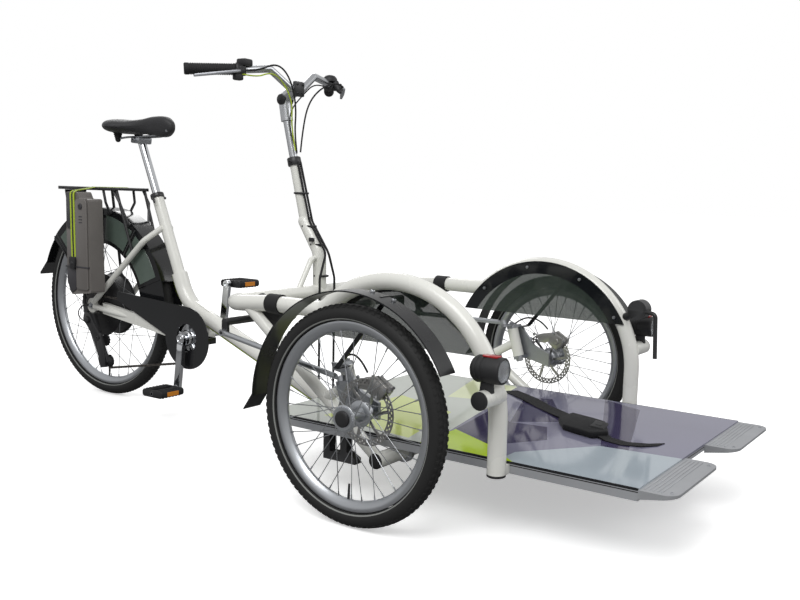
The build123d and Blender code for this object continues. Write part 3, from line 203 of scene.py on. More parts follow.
# an outline thickened by the push vector, its edges rounded by edge mm
def slab(mesh, corners, push, edge=0.0, steps=2):
    face = mesh.faces.new([mesh.verts.new(corner) for corner in corners])
    lifted = onlyVerts(bmesh.ops.extrude_face_region(mesh, geom=[face])["geom"])
    bmesh.ops.translate(mesh, verts=lifted, vec=push)
    if edge:
        rims = list({rim for vert in set(lifted) | set(face.verts) for rim in vert.link_edges})
        bmesh.ops.bevel(mesh, geom=rims, offset=edge / 1000, offset_type="OFFSET", segments=steps, profile=0.5,
                        affect="EDGES", material=-1, clamp_overlap=True)


def sidePlate(mesh, y, corners, thick, edge=0.0, steps=2):  # a slab drawn in the side view, thick mm along Y
    slab(mesh, [spot(x, y, z) for x, z in corners], Vector((0, thick / 1000, 0)), edge, steps)


def flatPlate(mesh, z, corners, thick, edge=0.0, steps=2):  # a slab drawn from above, thick mm upwards
    slab(mesh, [spot(x, y, z) for x, y in corners], Vector((0, 0, thick / 1000)), edge, steps)


def crossPlate(mesh, x, corners, thick, edge=0.0, steps=2):  # a slab drawn from the front, thick mm along X
    slab(mesh, [spot(x, y, z) for y, z in corners], Vector((thick / 1000, 0, 0)), edge, steps)


def bar(mesh, start, end, size, far=None, steps=12):  # a round bar, far mm thick at its end
    run = end - start
    matrix = Matrix.Translation((start + end) / 2) @ run.to_track_quat("Z", "Y").to_matrix().to_4x4()
    bmesh.ops.create_cone(mesh, cap_ends=True, segments=steps, radius1=size / 2000,
                          radius2=(far or size) / 2000, depth=run.length, matrix=matrix)


# of the width and height
boltShares = ((0, 0.35), (0.22, 0.35), (0.24, 1.0), (0.4, 0.92), (0.5, 0.55), (0.5, 0), (0, 0))


def boltHead(mesh, place, axis, size, height=None, steps=18):  # a domed head with its key socket
    tall = height or size * 0.5
    turned(mesh, [(size * wide, tall * high) for wide, high in boltShares], place, axis, steps)


def toothed(mesh, place, axis, radius, teeth, depth, thick):  # a flat toothed disc
    turn = Vector(axis).to_track_quat("Z", "Y").to_matrix().to_4x4()
    made = bmesh.ops.create_circle(mesh, cap_ends=True, segments=3 * teeth, radius=radius / 1000,
                                   matrix=Matrix.Translation(place) @ turn)
    for number, vert in enumerate(made["verts"]):
        if number % 3 == 0:
            vert.co = place + (vert.co - place) * (1 - depth / radius)
    disc = list({face for vert in made["verts"] for face in vert.link_faces})
    lifted = onlyVerts(bmesh.ops.extrude_face_region(mesh, geom=disc)["geom"])
    bmesh.ops.translate(mesh, verts=lifted, vec=Vector(axis).normalized() * thick / 1000)


def wire(name, points, size, body, material):  # a round cord through given points
    data = bpy.data.curves.new(name, "CURVE")
    data.dimensions = "3D"
    data.bevel_depth = size / 2000
    data.bevel_resolution = 3
    data.use_fill_caps = True
    line = data.splines.new("NURBS")
    line.points.add(len(points) - 1)
    for point, place in zip(line.points, points):
        point.co = (*spot(*place), 1)
    line.order_u = 3
    line.use_endpoint_u = True
    line.resolution_u = 8
    data.materials.append(material)
    piece = bpy.data.objects.new(name, data)
    bpy.context.scene.collection.objects.link(piece)
    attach(piece, body)


def ribbon(mesh, points, wide, thick):  # a flat strap through the points, wide is its width as a vector
    middle = [mesh.verts.new(spot(*point) - wide / 2) for point in points]
    runs = [mesh.edges.new(pair) for pair in zip(middle, middle[1:])]
    moved = bmesh.ops.extrude_edge_only(mesh, edges=runs)["geom"]
    bmesh.ops.translate(mesh, verts=onlyVerts(moved), vec=wide)
    faces = [item for item in moved if isinstance(item, bmesh.types.BMFace)]
    bmesh.ops.recalc_face_normals(mesh, faces=faces)
    bmesh.ops.solidify(mesh, geom=faces, thickness=thick / 1000)


def dress(name, material):
    node = nodes[name]
    node.data.materials.clear()
    node.data.materials.append(material)


# Paint layers, with their limits in metres
def tubeStripes(tree, coords, color):  # lime and black lines along the seat tube and the main tube
    bend, seatTop, mainEnd = (-1118, 362), (-1268, 722), (-490, 118)
    seatLine = across(tree, coords, bend, seatTop)
    mainLine = across(tree, coords, bend, mainEnd)
    flipped = addNode(tree, "ShaderNodeMath", {"operation": "MULTIPLY", 1: -1.0}, {0: seatLine}).outputs[0]
    joined = addNode(tree, "ShaderNodeMath", {"operation": "SMOOTH_MIN", 2: 0.076},
                     {0: flipped, 1: mainLine}).outputs[0]
    lined = layer(tree, color, between(tree, joined, -0.0205, -0.0125), "#B5CC2E")
    return layer(tree, lined, between(tree, joined, -0.0125, -0.0105), "#26282A")


deckFields = (  # colour, then the corners (x, y) of a plain field in turn to the left
    ("#C3C8C0", ((-410, -360), (84, -360), (84, -199), (48, 29), (8, 160), (-30, 360), (-410, 360))),
    ("#CFDB86", ((-260, -300), (40, -340), (-20, -60), (-240, 20))),
    ("#DCE3B8", ((-130, 90), (0, 130), (-40, 340), (-200, 340))),
    ("#37324F", ((84, -199), (225, -270), (155, -50), (48, 29))),
    ("#3C3754", ((225, -270), (311, -145), (254, -34), (155, -50))),
    ("#3C3754", ((45, 233), (155, -50), (267, 42), (120, 260))),
    ("#413C58", ((244, 352), (455, -159), (515, -142), (372, 300))),
    ("#A3ADB5", ((300, -360), (640, -360), (640, -90), (434, -112), (300, -284))),
    ("#AFCB1F", ((84, -360), (340, -360), (225, -270), (84, -199))),
)


# pale lime fields behind, navy bands, a lime wedge at the near edge, a dark rim
def deckPrint(tree, coords, color):
    painted = color
    for shade, outline in deckFields:
        mask = None
        for start, end in zip(outline, outline[1:] + outline[:1]):
            apart = across(tree, coords, start, end, flat=True)
            inside = addNode(tree, "ShaderNodeMath", {"operation": "GREATER_THAN", 1: 0.0},
                             {0: apart}).outputs[0]
            if mask is not None:
                both = addNode(tree, "ShaderNodeMath", {"operation": "MULTIPLY"}, {0: mask, 1: inside})
                inside = both.outputs[0]
            mask = inside
        painted = layer(tree, painted, mask, shade)
    width = addNode(tree, "ShaderNodeSeparateXYZ", None, {0: coords}).outputs[1]
    rim = addNode(tree, "ShaderNodeMath", {"operation": "ABSOLUTE"}, {0: width}).outputs[0]
    return layer(tree, painted, between(tree, rim, 0.3545, 0.4), "#1C1D20")


def tyreLine(centre, low, high):  # a pale reflective line round the side wall
    def paint(tree, coords, color):
        return layer(tree, color, between(tree, fromAxle(tree, coords, centre), low, high), "#8B8D8A")
    return paint


def railGapShade(tree, coords, color):  # painted shade: a dark line standing in for the gap below the deck's edge
    height = addNode(tree, "ShaderNodeSeparateXYZ", None, {0: coords}).outputs[2]
    return layer(tree, color, between(tree, height, 0.1688, 0.1712), "#2A2A2C")


# Finishes
powderCoat = {"roughness": 0.26, "spread": 0.05, "grain": 1.4, "bump": 0.04, "shade": 0.96,
              "extra": {"Coat Weight": 0.35, "Coat Roughness": 0.08}}
powderWhite = surface("powderCoatWhite", "#E4E4DE", **powderCoat)  # smooth gloss paint with a faint orange peel
# the same with its two lines
stripedWhite = surface("stripedPowderCoat", "#E4E4DE", paint=tubeStripes, **powderCoat)
brightAluminium = surface(  # fine drawn grain, brighter on its edges
    "brushedAluminium", "#B9BCC0", metallic=1.0, roughness=0.36, spread=0.06, grain=0.5, bump=0.02, shade=0.93,
    wear=0.3, wearColor="#DDDFE2")
tubeAluminium = surface(  # silvery anodised tube with lengthwise lines
    "anodisedBarTube", "#C6C8CB", metallic=1.0, roughness=0.26, spread=0.04, grain=0.4, bump=0.01, shade=0.95,
    stretch=(1, 0.1, 1))
railAluminium = surface(  # satin profile, drawn along its length, with a painted shade line for the gap below the deck
    "extrudedRail", "#B6B8BC", metallic=0.55, roughness=0.46, spread=0.05, grain=0.5, bump=0.02, shade=0.93,
    stretch=(0.08, 1, 1), paint=railGapShade)
castAluminium = surface(  # sand-cast skin, bright at its corners
    "castTipAluminium", "#A9ABB0", metallic=0.8, roughness=0.48, spread=0.08, grain=1.2, bump=0.12, shade=0.9,
    wear=0.4, wearColor="#D2D4D6")
machinedSteel = surface(  # cloudy zinc
    "zincPlatedSteel", "#AEB1B6", metallic=1.0, roughness=0.3, spread=0.08, grain=0.7, bump=0.05, shade=0.85,
    wear=0.3)
rotorSteel = surface(  # ground steel with scratches from the pads
    "rotorSteel", "#A7A6A4", metallic=1.0, roughness=0.3, spread=0.1, grain=0.35, bump=0.05, shade=0.9,
    stretch=(1, 0.2, 1))
chromePlate = surface(  # mirror chrome with faint waves
    "chromePlate", "#D8DADD", metallic=1.0, roughness=0.08, spread=0.03, grain=2.0, bump=0.01, shade=0.97)
blackPaint = surface(  # satin enamel, thin on the edges
    "satinBlackPaint", "#1D1D1F", roughness=0.38, grain=1.0, bump=0.06, wear=0.35, wearColor="#5A5A5C")
blackPlastic = surface(  # spark-eroded mould texture
    "mouldedBlackNylon", "#1B1B1D", roughness=0.52, grain=0.9, bump=0.22, wear=0.25, wearColor="#3C3C3F")
glossBlack = surface(  # wet-looking moulded sheet
    "glossBlackPolycarbonate", "#191A1C", roughness=0.16, spread=0.05, grain=3.0, bump=0.02,
    extra={"Coat Weight": 0.3, "Coat Roughness": 0.05})
guardGrey = surface(  # dark gloss that the sky greys
    "smokedMudguard", "#1A1B1D", roughness=0.3, spread=0.06, grain=3.0, bump=0.02,
    extra={"Coat Weight": 0.15, "Coat Roughness": 0.08, "Specular IOR Level": 0.3})
# matt, with a pale line
tyreRubber = {"roughness": 0.72, "spread": 0.08, "grain": 1.6, "bump": 0.3, "shade": 0.8}
frontLine = tyreLine(onSide(frontAxle, 0), 0.2212, 0.2240)
rearLine = tyreLine(onSide(rearAxle, 0), 0.2922, 0.2950)
tyreFront = surface("tyreRubberFront", "#1A1A1A", paint=frontLine, **tyreRubber)
tyreRear = surface("tyreRubberRear", "#1A1A1A", paint=rearLine, **tyreRubber)
rubber = surface(  # dusty soft rubber
    "softRubber", "#19191B", roughness=0.78, spread=0.06, grain=0.9, bump=0.35, shade=0.85)
batteryShell = surface(  # fine grained grey moulding
    "batteryShellPlastic", "#6C6865", roughness=0.46, grain=0.8, bump=0.18, wear=0.25, wearColor="#8A8683")
darkShell = surface(  # the same moulding in a darker grey
    "batteryLidPlastic", "#37363A", roughness=0.42, grain=0.8, bump=0.18, wear=0.25, wearColor="#5E5C60")
deckGloss = surface(  # print below a clear smooth film
    "printedDeck", "#77768A", roughness=0.09, spread=0.03, grain=5.0, bump=0.01, shade=0.96, paint=deckPrint,
    extra={"Coat Weight": 0.15, "Coat Roughness": 0.05, "Specular IOR Level": 0.3})
chainSteel = surface(  # oily links
    "oiledChainSteel", "#6E6A66", metallic=1.0, roughness=0.36, grain=0.5, bump=0.1, shade=0.7)
limeRubber = surface(  # bright moulded strap and hose skin
    "limeStrap", "#B5CC2E", roughness=0.5, grain=0.7, bump=0.3, shade=0.88)
redPlastic = surface(  # clear red moulding
    "redLampPlastic", "#A5151A", roughness=0.2, spread=0.04, grain=2.0, bump=0.02, extra={"Coat Weight": 0.4})
windowGreen = surface(  # grey-green film, smeared
    "tintedWindow", "#5F6C64", roughness=0.14, spread=0.05, grain=4.0, bump=0.02, shade=0.85,
    extra={"Coat Weight": 0.4})
amber = surface(  # faceted moulding
    "amberReflector", "#D9861A", roughness=0.15, spread=0.04, grain=1.5, bump=0.5, extra={"Coat Weight": 0.5})

clearLens, lensTree = newMaterial("lampLens")  # clear moulded lens with fine ribs
lensCoords = addNode(lensTree, "ShaderNodeTexCoord").outputs["Object"]
lensRibs = addNode(lensTree, "ShaderNodeTexWave", {"bands_direction": "Y", "Scale": 110.0},
                   {"Vector": lensCoords})
lensBump = addNode(lensTree, "ShaderNodeBump", {"Strength": 0.4, "Distance": 0.001},
                   {"Height": lensRibs.outputs["Fac"]})
closeMaterial(lensTree, {"Base Color": hexColor("#F4F6F8"), "Roughness": 0.03, "Transmission Weight": 0.9,
                         "IOR": 1.49},
              {"Normal": lensBump.outputs[0]})

# see-through grey-green, black round its edge, light smears
clearPanel, panelTree = newMaterial("smokedPolycarbonate")
panelCoords = addNode(panelTree, "ShaderNodeTexCoord").outputs["Object"]
panelEdge = between(panelTree, fromAxle(panelTree, panelCoords, onSide(hoopCentre, 0)), 0.262, 1.0)
panelShade = layer(panelTree, "#39423C", panelEdge, "#15171A")
panelSmear = addNode(panelTree, "ShaderNodeTexNoise", {"Scale": 14.0, "Detail": 5.0}, {"Vector": panelCoords})
panelRough = addNode(panelTree, "ShaderNodeMapRange", {"To Min": 0.03, "To Max": 0.16},
                     {"Value": panelSmear.outputs["Fac"]})
panelClear = addNode(panelTree, "ShaderNodeMapRange", {"To Min": 0.72, "To Max": 1.0}, {"Value": panelEdge})
closeMaterial(panelTree, {"IOR": 1.45, "Coat Weight": 0.3},
              {"Base Color": panelShade, "Roughness": panelRough.outputs[0], "Alpha": panelClear.outputs[0]})

webbing, webTree = newMaterial("wovenWebbing")  # ribbed polyester weave with a soft sheen
webCoords = addNode(webTree, "ShaderNodeTexCoord").outputs["Object"]
weave = {"Distortion": 0.6, "Detail": 2.0}
warp = addNode(webTree, "ShaderNodeTexWave", {"bands_direction": "X", "Scale": 190.0, **weave},
               {"Vector": webCoords})
weft = addNode(webTree, "ShaderNodeTexWave", {"bands_direction": "Y", "Scale": 260.0, **weave},
               {"Vector": webCoords})
threads = addNode(webTree, "ShaderNodeMath", {"operation": "MULTIPLY"},
                  {0: warp.outputs["Fac"], 1: weft.outputs["Fac"]}).outputs[0]
webTint = addNode(webTree, "ShaderNodeMix", {"data_type": "RGBA", 6: hexColor("#0E0E10"),
                                             7: hexColor("#232326")},
                  {0: threads})
webBump = addNode(webTree, "ShaderNodeBump", {"Strength": 0.6, "Distance": 0.0004}, {"Height": threads})
closeMaterial(webTree, {"Roughness": 0.85, "Sheen Weight": 0.08, "Sheen Roughness": 0.4,
                        "Specular IOR Level": 0.2},
              {"Base Color": webTint.outputs[2], "Normal": webBump.outputs[0]})

saddleCover, coverTree = newMaterial("saddleCover")  # black synthetic leather, pebbled, darker and glossier in soft random patches
coverCoords = addNode(coverTree, "ShaderNodeTexCoord").outputs["Object"]
pebbles = addNode(coverTree, "ShaderNodeTexVoronoi", {"Scale": 620.0, "Randomness": 1.0},
                  {"Vector": coverCoords})
darkPatches = addNode(coverTree, "ShaderNodeTexNoise", {"Scale": 22.0, "Detail": 5.0}, {"Vector": coverCoords})
coverTint = addNode(coverTree, "ShaderNodeMix", {"data_type": "RGBA", 6: hexColor("#131315"),
                                                 7: hexColor("#26262A")},
                    {0: darkPatches.outputs["Fac"]})
coverRough = addNode(coverTree, "ShaderNodeMapRange", {"To Min": 0.42, "To Max": 0.66},
                     {"Value": darkPatches.outputs["Fac"]})
coverBump = addNode(coverTree, "ShaderNodeBump", {"Strength": 0.35, "Distance": 0.0004},
                    {"Height": pebbles.outputs["Distance"]})
closeMaterial(coverTree, {"Sheen Weight": 0.15, "Sheen Roughness": 0.5},
              {"Base Color": coverTint.outputs[2], "Roughness": coverRough.outputs[0],
               "Normal": coverBump.outputs[0]})

finishes = (  # each finish with the nodes that wear it
    (stripedWhite, ("rear_frame",)),
    (powderWhite, ("rear_stays", "front_frame", "steering_column", "hoop_left", "hoop_right")),
    (chromePlate, ("seat_post", "crank")),
    (saddleCover, ("saddle",)),
    (machinedSteel, ("saddle_springs", "knuckle_left", "knuckle_right")),
    (blackPaint, ("rack", "steering_relay", "caliper_left", "caliper_right", "release_lever", "catches")),
    (batteryShell, ("battery",)),
    (glossBlack, ("mudguard_rear", "coat_guards", "chain_guard")),
    (brightAluminium, ("wheel_rear", "wheel_front_left", "wheel_front_right", "push_rod_left",
                       "push_rod_right")),
    (tyreRear, ("tyre_rear",)),
    (tyreFront, ("tyre_front_left", "tyre_front_right")),
    (blackPlastic, ("pedal_left", "pedal_right", "tensioner", "bar_controls", "lamp_left", "lamp_right",
                    "tie_downs")),
    (chainSteel, ("chain",)),
    (tubeAluminium, ("handlebar",)),
    (rubber, ("grips", "cables", "buffers")),
    (guardGrey, ("mudguard_front_left", "mudguard_front_right")),
    (railAluminium, ("platform_frame",)),
    (deckGloss, ("platform_deck",)),
    (castAluminium, ("ramp_tips",)),
    (clearPanel, ("panel_left", "panel_right")),
)
for material, names in finishes:
    for name in names:
        dress(name, material)
print("stage: finishes on the nodes")


# Wheels: rounded rims, crossed round spokes with nipples, turned hubs and drilled rotors
def tinted(mesh, index, known):  # gives the faces made since then their material
    for face in mesh.faces:
        if face not in known:
            face.material_index = index
    return set(mesh.faces)


def wheelSpot(middle, radius, angle, away=0.0):  # a place round a wheel's middle, away metres along Y
    ahead, up = polar((0, 0), radius, angle)
    return middle + Vector((ahead / 1000, away, up / 1000))


wheelPlaces = (  # name, body, radius, x, y, outward side, spoke flange's radius and half width, tyre's finish
    ("front_left", "front_wheel_left", 256.0, 0, halfTrack, 1, 31.0, 28.0, tyreFront),
    ("front_right", "front_wheel_right", 256.0, 0, -halfTrack, -1, 31.0, 28.0, tyreFront),
    ("rear", "rear_wheel", 327.0, -1535, 0, 1, 112.0, 30.0, tyreRear),
)
wheelSettings = {
    "rimDrop": 38.2, "rimDepth": 24.0, "spokes": 18, "lead": 2.6, "spokeSize": 2.1, "inside": 3, "apart": 0.002,
    "nippleSize": 4.2, "nippleNeck": 3.4, "nippleLength": 13.0, "valveTurn": -92, "valveSize": 6.5,
    "valveNeck": 5.0,
    "rim": (  # inwards from the rim's edge, out from its middle
        (0, -14.4), (0, 14.4), (1.2, 15), (8, 15), (12, 13.6), (19, 8.5), (22.6, 4.4), (24, 2.2), (24, -2.2),
        (22.6, -4.4), (19, -8.5), (12, -13.6), (8, -15), (1.2, -15)),
    "frontHub": (
        (0, 38.4), (13, 38.4), (16.4, 38), (17, 37), (17, 34.6), (16, 34), (16, 30.6), (29.6, 30.2),
        (31, 29), (31, 27), (29.6, 25.8), (18, 24), (14.6, 15), (14.6, -15), (18, -24), (29.6, -25.8),
        (31, -27), (31, -29), (29.6, -30.2), (24, -31), (24, -47), (22, -48.5), (6.3, -48.5), (6.3, 33.5),
        (0, 33.5)),
    "rearHub": (
        (6.3, 42), (60, 42), (84, 40.5), (88, 38), (104, 35), (106, 33), (111, 31.5), (112, 30), (111, 28.5),
        (106, 27), (105, 20), (105, -20), (106, -27), (111, -28.5), (112, -30), (111, -31.5), (106, -33),
        (104, -35), (88, -38), (84, -40.5), (60, -42), (6.3, -42)),
    "cap": ((0, 40), (12, 40), (16.6, 39.3), (18.8, 37.6), (19, 36), (19, 33.6), (0, 33.6)),
}
rotorSettings = {
    "back": 0.0486, "boltBack": 0.0505, "radii": (63.5, 66.5, 71.5, 76.5, 79.5), "steps": 72, "web": 0.00075,
    "thick": 0.0022, "arms": 6, "arm": ((22, -9), (45, 1), (65, 6), (65, 13), (45, 11), (22, 10)), "bolts": 19,
}
sprocketSettings = {
    "sizes": ((31, 15), (30, 14), (28, 13), (26, 12)), "first": -0.0425, "pitch": 0.0045,
    "carrier": ((6.3, -42), (22, -42), (22, -59), (18, -60), (6.3, -60)), "screws": 7, "screwRing": 74,
    "screwOut": 0.0405,
}


def spokes(wheel, middle, nose, flange, flangeHalf):  # both halves, crossed, with a nipple at each rim end
    pitch = 360.0 / wheelSettings["spokes"]
    for half in (-1, 1):
        for number in range(wheelSettings["spokes"]):
            turn = pitch * (number + (half + 1) / 4)
            lead = pitch * wheelSettings["lead"] * (1 if number % 2 else -1)
            foot = wheelSpot(middle, flange - wheelSettings["inside"], turn - lead, half * flangeHalf / 1000)
            tip = wheelSpot(middle, nose + wheelSettings["inside"], turn, half * wheelSettings["apart"])
            bar(wheel, foot, tip, wheelSettings["spokeSize"], steps=6)
            neck = tip + (foot - tip).normalized() * wheelSettings["nippleLength"] / 1000
            bar(wheel, tip, neck, wheelSettings["nippleSize"], wheelSettings["nippleNeck"], 8)


def rotor(wheel, middle, out, known):  # a disc spun in rings, with two rows of holes, swept arms and bolts
    face = middle - out * rotorSettings["back"]
    radii = rotorSettings["radii"]
    points = [wheel.verts.new(face + Vector((size / 1000, 0, 0))) for size in radii]
    edges = [wheel.edges.new(pair) for pair in zip(points, points[1:])]
    bmesh.ops.spin(wheel, geom=points + edges, cent=face, axis=out, angle=math.tau,
                   steps=rotorSettings["steps"], use_merge=True)
    holes = []
    for part in wheel.faces:
        if part in known:
            continue
        place = part.calc_center_median() - face
        reach = place.length * 1000
        step = int(round(math.degrees(math.atan2(place.z, place.x)) * rotorSettings["steps"] / 360 - 0.5))
        row = 0 if radii[1] < reach < radii[2] else 1 if radii[2] < reach < radii[3] else None
        if row == step % 2:
            holes.append(part)
    bmesh.ops.inset_individual(wheel, faces=holes, thickness=rotorSettings["web"])
    bmesh.ops.delete(wheel, geom=holes, context="FACES")
    drilled = [part for part in wheel.faces if part not in known]
    bmesh.ops.recalc_face_normals(wheel, faces=drilled)
    bmesh.ops.solidify(wheel, geom=drilled, thickness=rotorSettings["thick"])
    for number in range(rotorSettings["arms"]):
        start = number * 360 / rotorSettings["arms"]
        corners = [wheelSpot(face, size, start + turn) for size, turn in rotorSettings["arm"]]
        slab(wheel, corners, -out * rotorSettings["thick"], 0.3, 1)
        boltHead(wheel, wheelSpot(middle - out * rotorSettings["boltBack"], rotorSettings["bolts"], start),
                 -out, 5.0)


for name, body, radius, x, y, side, flange, flangeHalf, material in wheelPlaces:
    middle = spot(x, y, radius)
    out = Vector((0, side, 0))
    isRear = name == "rear"
    wheel = bmesh.new()
    rimEdge = radius - wheelSettings["rimDrop"]
    nose = rimEdge - wheelSettings["rimDepth"]
    turned(wheel, [(rimEdge - inwards, height) for inwards, height in wheelSettings["rim"]], middle, out, 96,
           ring=True)
    known = tinted(wheel, 0, set())
    turned(wheel, wheelSettings["rearHub" if isRear else "frontHub"], middle, out, 48, ring=isRear)
    known = tinted(wheel, 3 if isRear else 0, known)
    spokes(wheel, middle, nose, flange, flangeHalf)
    known = tinted(wheel, 1, known)
    if isRear:
        for number, (size, teeth) in enumerate(sprocketSettings["sizes"]):
            level = sprocketSettings["first"] - number * sprocketSettings["pitch"]
            toothed(wheel, middle + Vector((0, level, 0)), (0, -1, 0), size, teeth, 3.4, 2.2)
        turned(wheel, sprocketSettings["carrier"], middle, (0, 1, 0), 32, ring=True)
        known = tinted(wheel, 2, known)
        for number in range(sprocketSettings["screws"]):  # on the motor's side covers
            for face in (1, -1):
                turn = number * 360 / sprocketSettings["screws"]
                place = wheelSpot(middle, sprocketSettings["screwRing"], turn,
                                  face * sprocketSettings["screwOut"])
                boltHead(wheel, place, (0, face, 0), 7.0)
        known = tinted(wheel, 3, known)
    else:
        rotor(wheel, middle, out, known)
        known = tinted(wheel, 2, known)
        turned(wheel, wheelSettings["cap"], middle, out, 32)
        known = tinted(wheel, 3, known)
        toothed(wheel, middle + out * 0.0300, out, 28.0, 26, 2.6, 3.6)  # serrated ring round the cap
        known = tinted(wheel, 0, known)
    valveFoot = wheelSpot(middle, nose + 2, wheelSettings["valveTurn"])
    valveTip = wheelSpot(middle, (nose + 2) * 0.81, wheelSettings["valveTurn"])
    bar(wheel, valveFoot, valveTip, wheelSettings["valveSize"], wheelSettings["valveNeck"], 10)
    tinted(wheel, 3, known)
    settle("wheelDetail_" + name, wheel, body, brightAluminium, machinedSteel, rotorSteel, blackPlastic,
           replaces=("wheel_" + name,), slot="aluminium")

# Tyres: round carcass and four rows of slanted blocks that repeat round it
tyreSettings = {
    "height": 46.0, "width": 46.4, "bead": 130, "step": 13, "blockHeight": 1.5, "blockLong": 8.6,
    "blockWide": 7.4,
    "blockPitch": 17.0, "blockSunk": 0.3, "slant": 0.45, "rows": (-38, -14, 14, 38),  # degrees across the tread
}
for name, body, radius, x, y, side, flange, flangeHalf, material in wheelPlaces:
    middle = spot(x, y, radius)
    high, wide = tyreSettings["height"] / 2, tyreSettings["width"] / 2
    carcass = high - tyreSettings["blockHeight"]
    tyre = bmesh.new()
    bead = tyreSettings["bead"]
    turns = [math.radians(turn) for turn in range(-bead, bead + 1, tyreSettings["step"])]
    section = [(radius - high + carcass * math.cos(turn), wide * math.sin(turn)) for turn in turns]
    turned(tyre, section, middle, (0, 1, 0), 120, ring=True)
    count = int(math.tau * radius / tyreSettings["blockPitch"])
    for number, lean in enumerate(tyreSettings["rows"]):
        known = set(tyre.verts)
        crown = Vector((0, math.sin(math.radians(lean)), math.cos(math.radians(lean))))
        aside = Vector((0, crown.z, -crown.y)) * tyreSettings["blockWide"] / 2000
        ahead = Vector((tyreSettings["blockLong"] / 2000, 0, 0))
        slant = ahead * tyreSettings["slant"] * (1 if lean > 0 else -1)
        stagger = tyreSettings["blockPitch"] / 4000 * (number % 2)
        rise = radius - high + (carcass - tyreSettings["blockSunk"]) * crown.z
        foot = middle + Vector((stagger, wide / 1000 * crown.y, rise / 1000))
        corners = [foot - ahead - aside - slant, foot + ahead - aside - slant,
                   foot + ahead + aside + slant, foot - ahead + aside + slant]
        slab(tyre, corners, crown * (tyreSettings["blockHeight"] / 1000), 0.4, 1)
        block = [vert for vert in tyre.verts if vert not in known]
        edges = {edge for vert in block for edge in vert.link_edges}
        faces = {face for vert in block for face in vert.link_faces}
        bmesh.ops.spin(tyre, geom=block + list(edges) + list(faces), cent=middle, axis=(0, 1, 0),
                       angle=math.tau * (count - 1) / count, steps=count - 1, use_duplicate=True)
    settle("tyreDetail_" + name, tyre, body, material, replaces=("tyre_" + name,), slot="tyre")
print("stage: wheels and tyres")


# Saddle, its bellows, rails and clamp
saddleSettings = {
    "nose": -1180.0, "length": 290.0, "cuts": 11, "round": 3.2, "crown": 9.0, "groove": 3.0, "grooveWidth": 9,
    "form": (  # share back from the nose, half width, top, bottom
        (0.0, 22, 978, 916), (0.12, 27, 987, 908), (0.3, 32, 983, 916), (0.45, 44, 974, 924),
        (0.6, 72, 970, 927), (0.78, 107, 975, 924), (0.9, 105, 980, 922), (1.0, 87, 976, 926)),
    "clampTop": (-1344.25, 905.0), "spring": (-1412, 42, 942), "railNose": (-1202, 8, 940), "folds": 7,
}
saddleForm = saddleSettings["form"]
saddleMesh = bmesh.new()
bmesh.ops.create_cube(saddleMesh, size=2.0)
bmesh.ops.subdivide_edges(saddleMesh, edges=saddleMesh.edges[:], cuts=saddleSettings["cuts"],
                          use_grid_fill=True)
for vert in saddleMesh.verts:
    shape = vert.co.copy()
    power = saddleSettings["round"]
    shape = shape / sum(abs(part) ** power for part in shape) ** (1 / power)
    back = (1 - shape.x) / 2
    low, high = [pair for pair in zip(saddleForm, saddleForm[1:]) if pair[0][0] <= back + 0.0001][-1]
    share = min(1.0, max(0.0, (back - low[0]) / (high[0] - low[0])))
    share = share * share * (3 - 2 * share)
    half, top, bottom = (low[i] + (high[i] - low[i]) * share for i in (1, 2, 3))
    crown = saddleSettings["crown"] * shape.y ** 2 * half / 107
    height = (top + bottom) / 2 + shape.z * (top - bottom) / 2 - (crown if shape.z > 0 else -crown * 0.4)
    if shape.z > 0.5 and 0.35 < back < 0.95:
        height -= saddleSettings["groove"] * math.exp(-(shape.y * half / saddleSettings["grooveWidth"]) ** 2)
    vert.co = spot(saddleSettings["nose"] - saddleSettings["length"] * back, shape.y * half, height)
saddlePad = settle("saddlePad", saddleMesh, "frame", saddleCover, replaces=("saddle",), slot="saddle",
                   smooth=180)
smoothing = saddlePad.modifiers.new("smoothing", "SUBSURF")
smoothing.levels = smoothing.render_levels = 1

springs = bmesh.new()
under = bmesh.new()
springX, springY, springZ = saddleSettings["spring"]
clampTop = saddleSettings["clampTop"]
bellows = [(0, 0)]
for fold in range(saddleSettings["folds"]):
    bellows += [(17.5 - fold * 1.5, -fold * 6.0), (19.0 - fold * 1.6, -fold * 6.0 - 3.0)]
bellows += [(7.0, -43), (4.0, -46), (0, -46)]
for side, sign in pairs:
    turned(springs, bellows, spot(springX, springY * sign, springZ), (0, 0, 1), 24)
sidePlate(under, -27, shifted(clampTop, ((-24, -10), (20, -14), (24, 8), (-20, 12))), 54, 4.0)
for side, sign in pairs:
    railX, railY, railZ = saddleSettings["railNose"]
    boltHead(under, onSide(clampTop, 27 * sign), (0, sign, 0), 14)
    turned(under, ((0, 0), (9, 0), (10, -2), (10, -8), (8, -11), (0, -11)), spot(railX, railY * sign, railZ),
           (0, 0, 1), 16)
settle("saddleBellows", springs, "frame", rubber)
settle("saddleClamp", under, "frame", machinedSteel, replaces=("saddle_springs",), slot="steel")
for side, sign in pairs:
    wire("saddleRail_" + side, (
        (-1412, 42 * sign, 905), (-1408, 40 * sign, 908), (-1385, 28 * sign, 913), (-1344, 20 * sign, 915),
        (-1300, 20 * sign, 916), (-1262, 19 * sign, 917), (-1236, 14 * sign, 922), (-1204, 8 * sign, 938)),
        7.0, "frame", machinedSteel)

